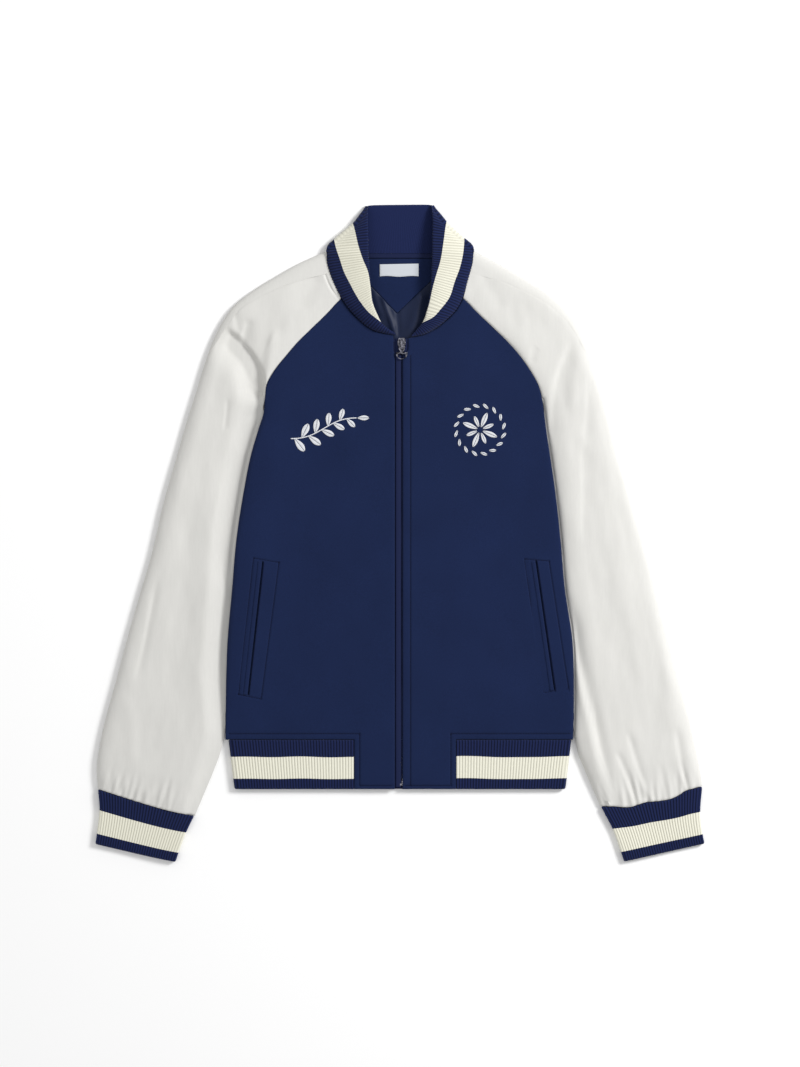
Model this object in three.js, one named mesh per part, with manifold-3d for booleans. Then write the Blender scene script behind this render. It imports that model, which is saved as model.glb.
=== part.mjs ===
// Men's bomber jacket laid flat on its back, zip closed: navy wool body, pale
// raglan sleeves, striped rib collar, cuffs and hem. Millimetres, +Z up.
// Origin: on the surface it lies on, on the zip line, under the middle of the
// back. +Y runs to the collar. "right" is the wearer's right, which is -X here.
import * as THREE from 'three';
import Module from 'manifold-3d';
import { mergeVertices } from 'three/addons/utils/BufferGeometryUtils.js';

// ---- driving dimensions ----------------------------------------------------
const SEAM = 0.35;            // gap between sewn pieces
const BACK_WALL = 2.0;        // wool back with its lining
const FRONT_WALL = 2.4;       // wool front with its lining
const RIB_WALL = 2.4;         // knitted rib, at the foot of its ribs
const RIB_RISE = 0.9;         // a rib stands this far proud
const RIB_PITCH = 3.7;
const SLEEVE_LOW = 2.1;       // lower layer of a sleeve
const SLEEVE_TOP = 2.8;       // upper layer of a sleeve
const FLANGE = 3.4;           // height of a sleeve pressed flat under the body
const LIFT = 3.9;             // the back is lifted this far over a sleeve
const FRONT_Z = 8.6;          // upper face of the fronts
const PLACKET_X = { right: -59, left: 70.6 };   // front bands down to the hem
const EDGE_X = { right: -7.2, left: 2.6 };      // zip edges of the fronts
const HEM_SEAM = -262.5, HEM_END = -325.4;
const ZIP_X = 1.6;
const COLOUR = { wool: 0x22294c, rib: 0x22214b, sleeve: 0xdededa, lining: 0x32415a,
  facing: 0x242c52, label: 0xf4f4f2, tape: 0x1b2140, metal: 0x4a4c50 };

// ---- tables ----------------------------------------------------------------
// Body outline: side seams up to the underarm (y 171.5), then the raglan seams.
// tuck is how far the sleeve's inner edge runs in under the body.
const BODY = [ // y, right x, left x, tuck
  [-262.5, -222.4, 219.2, 0], [-245, -222.4, 219.8, 0], [-228, -222.1, 220.2, 0],
  [-192, -221.6, 220.3, 22], [-136, -219.6, 218.5, 39], [-72, -214, 209, 46],
  [-9, -208.6, 203.5, 49], [52, -199.3, 196.8, 45], [103, -189, 189.5, 35],
  [133, -180, 185, 17], [154, -173.5, 182.3, 0], [171.5, -172, 179.7, 0],
  [189, -169.5, 174.6, 0], [207, -159.4, 164.5, 0], [225, -145.4, 151.8, 0],
  [243, -130.2, 136.5, 0], [262, -111, 117, 0], [281, -92, 97, 0], [298.4, -75.6, 80, 0]];
// Neck seam of each front, neck point to zip.
const NECK = { // x, y
  right: [[-75.6, 298.4], [-64, 282], [-56.5, 274], [-44.6, 263.5], [-34.4, 257], [-21.6, 253.4], [-9, 251]],
  left: [[80, 298.4], [70.5, 282], [61.6, 272.5], [46.4, 260], [29.5, 251.5], [14, 248.4], [9.6, 247.6]] };
// Sleeve rows from the cuff up. o: outer fold, s: overarm seam (0,0 where it
// runs along the fold), i: inner edge (taken from BODY where y only is given),
// top: height of the upper layer, in: height at the inner edge.
const SLEEVE = {
  right: [ // ox, oy, sx, sy, ix, iy, top, in
    [-384.8, -325.1, 0, 0, -261.6, -358.6, 7.4, 3.4], [-386.1, -298.4, 0, 0, -250.8, -332.7, 8.6, 3.4],
    [-381.6, -265.4, 0, 0, -238.1, -302.3, 9.0, 3.4], [-374, -232.4, 0, 0, -228, -273.1, 8.9, 3.4],
    [-367.7, -209.6, 0, 0, 0, -245, 8.9, 3.4], [-361.3, -186.7, 0, 0, 0, -228, 8.9, 3.4],
    [-349.9, -143.5, 0, 0, 0, -192, 8.9, 3.4], [-333.4, -85.1, 0, 0, 0, -136, 8.9, 3.4],
    [-315.6, -24.1, 0, 0, 0, -72, 8.9, 3.4], [-301.6, 36.8, 0, 0, 0, -9, 8.9, 3.4],
    [-285.1, 95.2, 0, 0, 0, 52, 8.9, 3.4], [-271.1, 143.5, 0, 0, 0, 103, 8.9, 3.4],
    [-262.3, 171.4, 0, 0, 0, 133, 8.9, 3.4], [-254.6, 196.8, 0, 0, 0, 154, 8.9, 3.4],
    [-245.7, 224.8, 0, 0, 0, 171.5, 8.9, 6], [-238.1, 245.1, -233, 242.6, 0, 189, 8.9, 8.2],
    [-226.7, 268, -219.7, 262.9, 0, 207, 8.9, 8.6], [-214, 286.4, -209, 278, 0, 225, 8.9, 8.6],
    [-200, 299.1, -198, 288.3, 0, 243, 8.9, 8.6], [-181, 312.4, -179.5, 299.1, 0, 262, 8.8, 8.6],
    [-158.1, 326.4, -156.8, 309.9, 0, 281, 8.8, 8.6], [-131.4, 341.6, -127.6, 320, -83.9, 290.2, 8.7, 8.6],
    [-98, 360, -92.2, 331.5, -76.6, 298.6, 8.6, 8.6]],
  left: [
    [383.9, -321.7, 0, 0, 254.3, -346.7, 7.4, 3.4], [380.4, -298.4, 0, 0, 243.2, -321.3, 8.6, 3.4],
    [374, -269.2, 0, 0, 233, -297.2, 9.0, 3.4], [366.4, -235, 0, 0, 224.8, -275.6, 8.9, 3.4],
    [358.8, -207, 0, 0, 0, -245, 8.9, 3.4], [352.4, -184.2, 0, 0, 0, -228, 8.9, 3.4],
    [341, -141, 0, 0, 0, -192, 8.9, 3.4], [327, -85.1, 0, 0, 0, -136, 8.9, 3.4],
    [311.8, -25.4, 0, 0, 0, -72, 8.9, 3.4], [295.3, 34.3, 0, 0, 0, -9, 8.9, 3.4],
    [278.8, 90.2, 0, 0, 0, 52, 8.9, 3.4], [266.1, 138.4, 0, 0, 0, 103, 8.9, 3.4],
    [259.1, 166.4, 0, 0, 0, 133, 8.9, 3.4], [250.8, 193, 0, 0, 0, 154, 8.9, 3.4],
    [243.8, 217.2, 0, 0, 0, 171.5, 8.9, 6], [236.9, 237.5, 231.8, 235.6, 0, 189, 8.9, 8.2],
    [229.2, 256.5, 222.2, 253, 0, 207, 8.9, 8.6], [217.8, 275.6, 211.6, 268.5, 0, 225, 8.9, 8.6],
    [203.8, 290.2, 198.5, 280.5, 0, 243, 8.9, 8.6], [186.1, 305.4, 181.7, 293.5, 0, 262, 8.8, 8.6],
    [160.7, 321.3, 156.8, 306.5, 0, 281, 8.8, 8.6], [132.7, 337.8, 129.5, 318.9, 88.6, 290.2, 8.7, 8.6],
    [97, 360.4, 90.9, 331.5, 81, 298.6, 8.6, 8.6]] };
// Back raglan seams, underarm to back neck.
const BACK_RAGLAN = [ // y, right x, left x
  [171.5, -172, 179.7], [189, -163, 169.5], [212, -150.5, 156], [236, -137, 141.5], [260, -123, 127],
  [284, -108.5, 112], [308, -93.5, 96.5], [332, -78, 80], [354.8, -62.5, 64]];
// Raised folds of the upper layers: a straight ridge from 1 to 2.
const FOLDS = { // x1, y1, x2, y2, rise, half width
  sleeve_right: [[-228, 254, -203, 212, 1.9, 13], [-201, 200, -203, 130, 1.7, 13], [-205, 120, -216, -36, 1.3, 14],
    [-242, 262, -200, 240, 0.9, 12], [-313, -55, -335, -180, 1.1, 12], [-247, -110, -252, -220, 1.2, 13]],
  sleeve_left: [[228, 254, 205, 205, 1.9, 13], [203, 190, 200, 120, 1.9, 13], [203, 110, 222, -40, 1.3, 14],
    [212, -100, 262, -250, 2.1, 13], [262, -110, 300, -230, 1.1, 13], [255, 200, 235, 60, 0.8, 14]],
  front_right: [[-150, 190, -60, 120, 0.8, 22], [-200, -60, -90, -20, 0.7, 26], [-150, -230, -70, -190, 0.7, 22]],
  front_left: [[160, 190, 70, 130, 0.8, 22], [190, -30, 90, -60, 0.7, 26], [150, -235, 80, -180, 0.7, 22]] };
// Collar strip, seam side n and free edge f, from the right zip end to the fold
// behind the right shoulder; z is the height of the outer face.
const COLLAR = {
  right: [ // nx, ny, nz, fx, fy, fz
    [-6, 252, 9.6, -6.6, 253.6, 10.6], [-21.6, 254.2, 9.6, -16.5, 260.5, 13.5], [-34.4, 257.8, 9.6, -24.8, 268, 16],
    [-44.6, 264.4, 9.6, -29.5, 277.5, 17.5], [-56.2, 275, 9.6, -34.3, 291, 19], [-63.6, 283, 9.6, -36.8, 311, 20],
    [-75, 299.2, 9.6, -38.7, 331.5, 20.5], [-84.2, 316.6, 9.7, -40.4, 352, 20], [-90, 332, 9.8, -41, 372, 18],
    [-93.4, 346.7, 9.9, -41.6, 392, 15], [-91.8, 358.6, 10, -41.4, 412.5, 12]],
  left: [
    [14, 249.6, 9.6, 14.6, 251.2, 10.6], [29.5, 252.4, 9.6, 22.5, 260.5, 13.5], [46, 261, 9.6, 28.6, 268.5, 16],
    [61.2, 273.5, 9.6, 32.8, 279.5, 17.5], [66, 278, 9.6, 35.4, 291, 19], [70.2, 283, 9.6, 38.6, 311, 20],
    [79.4, 299.2, 9.6, 39.6, 331.5, 20.5], [84.4, 316.6, 9.7, 40, 352, 20], [88.6, 332, 9.8, 40.6, 372, 18],
    [91.8, 346.7, 9.9, 40.8, 392, 15], [91, 358.8, 10, 39.6, 413.4, 12]] };
const CUFF = { // rows from the sleeve to the mouth: outer x, y, inner x, y, height
  right: [[-384.9, -325.7, -261.8, -359.1, 7.2], [-382.9, -351.8, -271.8, -379.7, 7], [-386.2, -381, -281.3, -405.1, 7],
    [-388.4, -395, -285.5, -417.8, 6.8]],
  left: [[384, -322.3, 254.5, -347.3, 7.2], [381.6, -354.3, 269.1, -375.5, 7], [384.6, -382, 279.7, -404.9, 7],
    [387, -394.7, 283.8, -417.8, 6.8]] };

// ---- helpers ---------------------------------------------------------------
const lerp = (a, b, t) => a + (b - a) * t;
const mix = (p, q, t) => p.map((v, k) => lerp(v, q[k], t));
// linear look-up of column c at key k of a table sorted by its first column
function at(table, k, c) {
  const up = table[0][0] < table[table.length - 1][0];
  const T = up ? table : [...table].reverse();
  if (k <= T[0][0]) return T[0][c];
  for (let n = 1; n < T.length; n++) if (k <= T[n][0])
    return lerp(T[n - 1][c], T[n][c], (k - T[n - 1][0]) / (T[n][0] - T[n - 1][0]));
  return T[T.length - 1][c];
}
const neckX = (side, y) => at(NECK[side].map(([x, yy]) => [yy, x]), y, 1);
const sideX = (side, y) => at(BODY, y, side === 'right' ? 1 : 2);
function folds(key, x, y) {
  let z = 0;
  for (const [x1, y1, x2, y2, rise, half] of FOLDS[key]) {
    const dx = x2 - x1, dy = y2 - y1, L = dx * dx + dy * dy;
    const t = Math.max(0, Math.min(1, ((x - x1) * dx + (y - y1) * dy) / L));
    const d = Math.hypot(x - x1 - t * dx, y - y1 - t * dy) / half;
    z = Math.max(z, rise * Math.exp(-d * d * 1.4));
  }
  return z;
}
const group = new THREE.Group();
function addMesh(name, verts, tris, colour, rough, metal) {
  let vol = 0;
  for (const [a, b, c] of tris) {
    const [A, B, C] = [verts[a], verts[b], verts[c]];
    vol += A[0] * (B[1] * C[2] - B[2] * C[1]) + A[1] * (B[2] * C[0] - B[0] * C[2]) + A[2] * (B[0] * C[1] - B[1] * C[0]);
  }
  if (vol < 0) tris = tris.map(([a, b, c]) => [a, c, b]);
  const g = new THREE.BufferGeometry();
  g.setAttribute('position', new THREE.Float32BufferAttribute(verts.flat(), 3));
  g.setIndex(tris.flat());
  g.computeVertexNormals();
  addGeometry(name, g, colour, rough, metal);
}
function addGeometry(name, g, colour, rough = 0.9, metal = 0) {
  const m = new THREE.Mesh(g, new THREE.MeshStandardMaterial({ color: colour, roughness: rough, metalness: metal }));
  m.name = name;
  group.add(m);
}
// Closed wall between an outer and an inner grid of points with equal row
// counts. The inner grid may have fewer columns; ring closes the columns.
function wall(name, outer, inner, colour, rough, ring = false) {
  const verts = [], tris = [];
  const idx = (grid) => grid.map(row => row.map(p => verts.push(p) - 1));
  const o = idx(outer), n = idx(inner), J = o.length - 1;
  const face = (g, flip) => {
    const w = g[0].length;
    for (let j = 0; j < J; j++) for (let i = 0; i < (ring ? w : w - 1); i++) {
      const k = (i + 1) % w, [a, b, c, d] = [g[j][i], g[j][k], g[j + 1][k], g[j + 1][i]];
      if (flip) tris.push([a, c, b], [a, d, c]); else tris.push([a, b, c], [a, c, d]);
    }
  };
  face(o, false); face(n, true);
  const zip = (p, q, flip) => {
    const A = ring ? [...p, p[0]] : p, B = ring ? [...q, q[0]] : q;
    let i = 0, k = 0;
    while (i < A.length - 1 || k < B.length - 1) {
      const stepA = k >= B.length - 1 || (i < A.length - 1 && (i + 1) / (A.length - 1) <= (k + 1) / (B.length - 1) + 1e-9);
      const t = stepA ? [A[i + 1], A[i], B[k]] : [B[k], B[k + 1], A[i]];
      tris.push(flip ? [t[1], t[0], t[2]] : t);
      if (stepA) i++; else k++;
    }
  };
  zip(o[0], n[0], false); zip(o[J], n[J], true);
  if (!ring) for (let j = 0; j < J; j++) {
    tris.push([o[j][0], o[j + 1][0], n[j + 1][0]], [o[j][0], n[j + 1][0], n[j][0]]);
    const e = o[0].length - 1, f = n[0].length - 1;
    tris.push([o[j + 1][e], o[j][e], n[j + 1][f]], [o[j][e], n[j][f], n[j + 1][f]]);
  }
  addMesh(name, verts, tris, colour, rough, 0);
}
// Closed wall over those cells of a grid that keep(j, i) allows.
function maskedWall(name, outer, inner, keep, colour, rough) {
  const verts = [], tris = [], J = outer.length - 1, I = outer[0].length - 1, id = new Map();
  const v = (side, j, i) => {
    const key = side + ',' + j + ',' + i;
    if (!id.has(key)) id.set(key, verts.push((side ? inner : outer)[j][i]) - 1);
    return id.get(key);
  };
  const on = (j, i) => j >= 0 && i >= 0 && j < J && i < I && keep(j, i);
  const side = (j1, i1, j2, i2) => { // boundary edge, as the outer face runs
    const [a, b, c, d] = [v(0, j1, i1), v(0, j2, i2), v(1, j2, i2), v(1, j1, i1)];
    tris.push([b, a, d], [b, d, c]);
  };
  for (let j = 0; j < J; j++) for (let i = 0; i < I; i++) if (on(j, i)) {
    const q = s => [v(s, j, i), v(s, j, i + 1), v(s, j + 1, i + 1), v(s, j + 1, i)];
    const [a, b, c, d] = q(0), [e, f, g, h] = q(1);
    tris.push([a, b, c], [a, c, d], [e, g, f], [e, h, g]);
    if (!on(j - 1, i)) side(j, i, j, i + 1);
    if (!on(j, i + 1)) side(j, i + 1, j + 1, i + 1);
    if (!on(j + 1, i)) side(j + 1, i + 1, j + 1, i);
    if (!on(j, i - 1)) side(j + 1, i, j, i);
  }
  addMesh(name, verts, tris, colour, rough, 0);
}
const lower = (grid, f) => grid.map((row, j) => row.map((p, i) => [p[0], p[1], p[2] - f(p, j, i)]));

// ---- back panel ------------------------------------------------------------
{
  const rows = [...BODY.slice(0, 12).map(([y, r, l, tuck]) => ({ y, r, l, tuck })),
    ...BACK_RAGLAN.slice(1).map(([y, r, l]) => ({ y, r, l, tuck: 0 }))];
  const liftAt = y => (y <= -262 ? 0 : y < -230 ? (y + 262.5) / 34.5 : y < 160 ? 1 : y < 170 ? 0.5 : 0);
  const grid = rows.map(({ y, r, l, tuck }) => {
    const e = LIFT * liftAt(y), row = [];
    for (const [x, k] of [[0, 1], [tuck / 2 + 4, 1], [tuck + 9, 1], [tuck + 32, 0.25], [tuck + 46, 0]]) row.push([r + x, y, k * e]);
    const a = r + tuck + 46, b = l - tuck - 46;
    for (const t of [0.5]) row.push([lerp(a, b, t), y, 0]);
    for (const [x, k] of [[tuck + 46, 0], [tuck + 32, 0.25], [tuck + 9, 1], [tuck / 2 + 4, 1], [0, 1]]) row.push([l - x, y, k * e]);
    return row;
  });
  // the upper raglan rows are narrow: squeeze the columns between the seams
  grid.forEach((row, j) => {
    const { r, l } = rows[j];
    if (l - r < 330) row.forEach((p, i) => { p[0] = lerp(r, l, i / (row.length - 1)); });
  });
  wall('back', lower(grid, () => -BACK_WALL), grid, COLOUR.wool, 0.95);
}

// ---- fronts ----------------------------------------------------------------
const frontZ = (side, x, y) => FRONT_Z + folds('front_' + side, x, y);
for (const side of ['right', 'left']) {
  const neck = NECK[side], neckEnd = neck[neck.length - 1][1], P = PLACKET_X[side], C = EDGE_X[side];
  const ys = new Set([HEM_END, -294, HEM_SEAM, 226, 233, neckEnd, 297]);
  BODY.forEach(([y]) => { if (y < 297) ys.add(y); });
  neck.forEach(([, y]) => { if (y < 297) ys.add(y); });
  const rows = [...ys].sort((a, b) => a - b).filter((y, k, all) => k === 0 || y - all[k - 1] > 0.9 || y === neckEnd);
  const f = [0, 0.06, 0.2, 0.36, 0.52, 0.68, 0.84];
  const grid = rows.map(y => {
    const A = sideX(side, Math.max(y, HEM_SEAM));
    // the zip edges part round the slider
    const edge = y > 230 ? neck[neck.length - 1][0] : C;
    const base = [...f.map(t => lerp(A, P, t)), P, lerp(P, edge, 0.4), lerp(P, edge, 0.75), edge];
    let xs = base;
    if (y > neckEnd) {
      const N = neckX(side, y), A0 = sideX(side, neckEnd);
      const span = [...f.map(t => lerp(A0, P, t)), P, lerp(P, edge, 0.4), lerp(P, edge, 0.75), edge];
      xs = span.map(x => lerp(A, N, (x - A0) / (edge - A0)));
    }
    return xs.map((x, k) => [x, y, frontZ(side, x, y) - (k === 0 ? 0.7 : 0)]);
  });
  const inner = lower(grid, (p, j, i) => i === 0 ? FRONT_WALL - 0.75 : FRONT_WALL + 0.5 * folds('front_' + side, p[0], p[1]));
  const hemRow = rows.indexOf(HEM_SEAM);
  maskedWall('front_' + side, grid, inner, (j, i) => j >= hemRow || i >= f.length, COLOUR.wool, 0.95);
}

// ---- sleeves ---------------------------------------------------------------
for (const side of ['right', 'left']) {
  const sg = side === 'right' ? -1 : 1; // outward
  const rows = SLEEVE[side].map(([ox, oy, sx, sy, ix, iy, top, zi], j) => {
    let I = [ix, iy], tuck = 0;
    if (!ix) {
      tuck = at(BODY, iy, 3);
      I = [sideX(side, iy) + sg * (tuck > 0 ? -tuck : j > 14 ? 0.5 : SEAM), iy];
    }
    const O = [ox, oy], d = mix(I, O, 0).map((v, k) => O[k] - v), L = Math.hypot(d[0], d[1]);
    const S = sx ? [sx, sy] : [ox - d[0] / L * 3, oy - d[1] / L * 3];
    // where the row passes under the body's side edge
    let e = 1 - 4 / L;
    if (tuck > 0) {
      for (let t = 0; t <= 1; t += 0.002) {
        const p = mix(S, I, t);
        if (sg * (p[0] - sideX(side, p[1])) < 2.5) { e = t; break; }
      }
    }
    return { O, S, I, top, zi, e, j, L };
  });
  const n = rows.length - 1;
  const cols = [0, 0.08, 0.17, 0.26, 0.35, 0.44, 0.53, 0.62, 0.71, 0.8, 0.88, 0.94, 1];
  const top = rows.map(({ S, I, top: zt, zi, e, j, L }) => {
    const zs = 6.9, bend = j === n ? 2.2 : 0, s0 = 0.35 / L;
    const pts = cols.map((a, k) => {
      const p = mix(S, I, lerp(s0, e, a));
      p[0] += sg * bend * 4 * a * (1 - a);
      const rise = Math.min(1, a / 0.22), rise2 = rise * (2 - rise), fall = Math.max(0, (a - 0.62) / 0.38);
      let z = lerp(zs, zt, rise2);
      z = lerp(z, zi, fall * fall * (3 - 2 * fall));
      const w = Math.min(1, a * 8) * Math.min(1, (1 - a) * 5);
      z += w * folds('sleeve_' + side, p[0], p[1]);
      if (j === 1) z += w * (k % 2 ? 0.8 : -0.3);       // gathers into the cuff
      if (j === 2) z += w * (k % 2 ? 0.3 : -0.1);
      return [p[0], p[1], z];
    });
    for (const t of [0.5, 1]) { const p = mix(S, I, lerp(e, 1, t)); pts.push([p[0], p[1], zi]); }
    return pts;
  });
  const inner = lower(top, (p, j, i) => {
    const zi = rows[j].zi, a = i < cols.length ? cols[i] : 1;
    const edge = zi > 5 ? FRONT_WALL : 1.5, w = a > 0.62 ? (a - 0.62) / 0.38 : 0;
    const t = lerp(a < 0.1 ? 2.0 : SLEEVE_TOP, edge, w);
    const extra = i < cols.length - 1 && i > 0 ? Math.max(0, p[2] - rows[j].top) * 0.5 : 0;
    return t + extra;
  });
  wall('sleeve_front_' + side, top, inner, COLOUR.sleeve, 0.6);

  // back sleeve: from the inner edge along the surface, round the outer fold
  // and over the top to the overarm seam
  const outer = [], lining = [];
  rows.forEach(({ O, S, I, j }) => {
    let B = I;
    if (j >= 14) { const [y, r, l] = BACK_RAGLAN[j - 14]; B = [(side === 'right' ? r : l) + sg * 0.4, y]; }
    if (j === n) B = [B[0], B[1] + 0.1];
    const d = [B[0] - O[0], B[1] - O[1]], L = Math.hypot(d[0], d[1]), u = [d[0] / L, d[1] / L];
    const low = s => { // along the row, s from the outer fold, dipping at the neck
      const f = s / L, dip = j === n ? 2.4 * 4 * f * (1 - f) : 0;
      return [O[0] + u[0] * s, O[1] + u[1] * s - dip];
    };
    const o = [], q = [];
    for (const t of [1, 0.8, 0.6, 0.4, 0.2]) {
      const p = low(lerp(2.2, L, t)), edge = j < 14 ? 1.5 : BACK_WALL;
      o.push([...p, 0]); q.push([...p, lerp(SLEEVE_LOW, edge, Math.max(0, (t - 0.4) / 0.6))]);
    }
    o.push([...low(2.2), 0]); q.push([...low(3.2), SLEEVE_LOW]);
    o.push([...low(0.4), 1.4]); q.push([...low(2.3), 2.6]);
    o.push([...O, 3.5]); q.push([...low(2.0), 3.5]);
    const M = mix(O, S, 0.4);
    o.push([...M, 6.0]); q.push([...mix(O, S, 0.78), 4.5]);
    o.push([...S, 6.9]); q.push([...S, 4.9]);
    outer.push(o); lining.push(q);
  });
  wall('sleeve_back_' + side, outer, lining, COLOUR.sleeve, 0.6);
}

// ---- ribbed strips ---------------------------------------------------------
const ribLift = k => (k % 2 ? RIB_RISE : 0);
// ---- cuffs: knitted tubes, ribs on the upper face --------------------------
for (const side of ['right', 'left']) {
  const T = CUFF[side], ribs = 2 * Math.round(Math.hypot(T[1][0] - T[1][2], T[1][1] - T[1][3]) / RIB_PITCH);
  const outer = [], inner = [];
  for (const [ox, oy, ix, iy, h] of T) {
    const O = [ox, oy], I = [ix, iy], L = Math.hypot(ix - ox, iy - oy);
    const P = (s, z) => [...mix(O, I, s / L), z];
    const o = [], q = [];
    for (let k = 0; k <= ribs; k++) o.push(P(lerp(2.5, L - 2.5, k / ribs), h - RIB_RISE + ribLift(k)));
    o.push(P(L - 0.4, h - 2), P(L, h / 2 - 0.3), P(L - 0.4, 1.3), P(L - 2.5, 0));
    for (const t of [0.75, 0.5, 0.25]) o.push(P(L * t, 0));
    o.push(P(2.5, 0), P(0.4, 1.3), P(0, h / 2 - 0.3), P(0.4, h - 2));
    const z1 = h - RIB_RISE - RIB_WALL + 0.2, z0 = RIB_WALL - 0.2;
    for (let k = 0; k <= 10; k++) q.push(P(lerp(3.4, L - 3.4, k / 10), z1));
    q.push(P(L - 2.4, (z0 + z1) / 2), P(L - 3.4, z0), P(L * 0.66, z0), P(L * 0.33, z0), P(3.4, z0), P(2.4, (z0 + z1) / 2));
    outer.push(o); inner.push(q);
  }
  ringWall('cuff_' + side, outer, inner);
}
// A ring of two loops whose points don't pair up: each loop is cut into the
// same four runs (top, inner fold, bottom, outer fold) and zipped run by run.
function ringWall(name, outer, inner) {
  const verts = [], tris = [];
  const idx = g => g.map(r => r.map(p => verts.push(p) - 1));
  const o = idx(outer), q = idx(inner), J = o.length - 1;
  for (const [g, flip] of [[o, false], [q, true]]) for (let j = 0; j < J; j++) for (let i = 0; i < g[0].length; i++) {
    const k = (i + 1) % g[0].length, [a, b, c, d] = [g[j][i], g[j][k], g[j + 1][k], g[j + 1][i]];
    if (flip) tris.push([a, c, b], [a, d, c]); else tris.push([a, b, c], [a, c, d]);
  }
  // running length along each loop, scaled run by run, pairs their points
  const mark = (g, n) => { // 0 at the first top point, 1 after the last top point
    const top = n, rest = g.length - n;
    return i => (i < top ? i / (top - 1) * 0.5 : 0.5 + (i - top + 1) / (rest + 1) * 0.5);
  };
  const topCount = g => { let n = 0; while (n < g.length && (n < 2 || g[n][2] > g[0][2] - 1.2)) n++; return n; };
  const fo = mark(outer[0], topCount(outer[0])), fq = mark(inner[0], topCount(inner[0]));
  for (const [j, flip] of [[0, false], [J, true]]) {
    const A = [...o[j], o[j][0]], B = [...q[j], q[j][0]];
    const pa = i => (i === A.length - 1 ? 1 : fo(i)), pb = i => (i === B.length - 1 ? 1 : fq(i));
    let i = 0, k = 0;
    while (i < A.length - 1 || k < B.length - 1) {
      const stepA = k >= B.length - 1 || (i < A.length - 1 && pa(i + 1) <= pb(k + 1) + 1e-9);
      const t = stepA ? [A[i + 1], A[i], B[k]] : [B[k], B[k + 1], A[i]];
      tris.push(flip ? [t[1], t[0], t[2]] : t);
      if (stepA) i++; else k++;
    }
  }
  addMesh(name, verts, tris, COLOUR.rib, 0.95, 0);
}
// A strip of rib whose outer face follows columns of {n, f, out, t}: seam edge
// n, free edge f and outward direction; ribs where t is true.
function ribStrip(name, columns, rows, every) {
  const outer = rows.map(v => columns.map(c => {
    const p = mix(c.n, c.f, v), b = c.bulge ? c.bulge * 4 * v * (1 - v) : 0;
    return p.map((x, k) => x + c.out[k] * (c.rib + b));
  }));
  const keep = columns.filter((c, k) => c.plain || k % every === 0 || k === columns.length - 1);
  const inner = rows.map(v => keep.map(c => {
    const p = mix(c.n, c.f, v), b = c.bulge ? c.bulge * 4 * v * (1 - v) : 0;
    return p.map((x, k) => x + c.out[k] * (b - RIB_WALL));
  }));
  // pair the two edges by column number
  const verts = [], tris = [], idx = g => g.map(r => r.map(p => verts.push(p) - 1));
  const o = idx(outer), q = idx(inner), J = rows.length - 1, at0 = keep.map(c => columns.indexOf(c));
  for (const [g, flip] of [[o, false], [q, true]]) for (let j = 0; j < J; j++) for (let i = 0; i < g[0].length - 1; i++) {
    const [a, b, c, d] = [g[j][i], g[j][i + 1], g[j + 1][i + 1], g[j + 1][i]];
    if (flip) tris.push([a, c, b], [a, d, c]); else tris.push([a, b, c], [a, c, d]);
  }
  for (const [j, flip] of [[0, false], [J, true]]) {
    let i = 0, k = 0;
    const A = o[j], B = q[j];
    while (i < A.length - 1 || k < B.length - 1) {
      const stepA = k >= B.length - 1 || (i < A.length - 1 && i + 1 <= at0[k + 1]);
      const t = stepA ? [A[i + 1], A[i], B[k]] : [B[k], B[k + 1], A[i]];
      tris.push(flip ? [t[1], t[0], t[2]] : t);
      if (stepA) i++; else k++;
    }
  }
  for (let j = 0; j < J; j++) {
    tris.push([o[j][0], o[j + 1][0], q[j + 1][0]], [o[j][0], q[j + 1][0], q[j][0]]);
    const e = o[0].length - 1, f = q[0].length - 1;
    tris.push([o[j + 1][e], o[j][e], q[j + 1][f]], [o[j][e], q[j][f], q[j + 1][f]]);
  }
  addMesh(name, verts, tris, COLOUR.rib, 0.95, 0);
}

// ---- hem rib: one strip round the body, placket to placket -----------------
{
  const R = 4.1, top = 2 * R, y0 = HEM_SEAM - SEAM - 0.05;
  const side = { right: [[-217.8, y0], [-210.2, HEM_END]], left: [[216.5, y0], [208.9, HEM_END]] };
  const half = s => {
    const [n, f] = side[s], sg = s === 'right' ? -1 : 1, P = PLACKET_X[s] + sg * 0.4;
    const ribs = 2 * Math.round(Math.abs(n[0] - P) / RIB_PITCH), c = [];
    for (let k = 0; k <= ribs; k++) {
      const t = k / ribs;
      c.push({ n: [lerp(P, n[0] - sg * R, t), y0, top], f: [lerp(P, f[0] - sg * R, t), HEM_END, top - 0.6],
        out: [0, 0, 1], rib: k === 0 || k === ribs ? 0 : ribLift(k) * 0.8 });
    }
    for (const deg of [45, 0, -45]) {
      const a = deg * Math.PI / 180, dx = sg * R * Math.cos(a), dz = R * Math.sin(a);
      c.push({ n: [n[0] - sg * R + dx, y0, R + dz], f: [f[0] - sg * R + dx, HEM_END, R + dz - 0.3 * (1 + Math.sin(a))],
        out: [sg * Math.cos(a), 0, Math.sin(a)], rib: 0, plain: true });
    }
    return c;
  };
  const a = half('right'), b = half('left').reverse(), back = [];
  for (let k = 0; k <= 8; k++) {
    const t = k / 8;
    back.push({ n: [lerp(-217.8 + R, 216.5 - R, t), y0, 0], f: [lerp(-210.2 + R, 208.9 - R, t), HEM_END, 0],
      out: [0, 0, -1], rib: 0, plain: true });
  }
  ribStrip('hem_rib', [...a, ...back, ...b], [0, 0.5, 1], 8);
}

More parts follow.
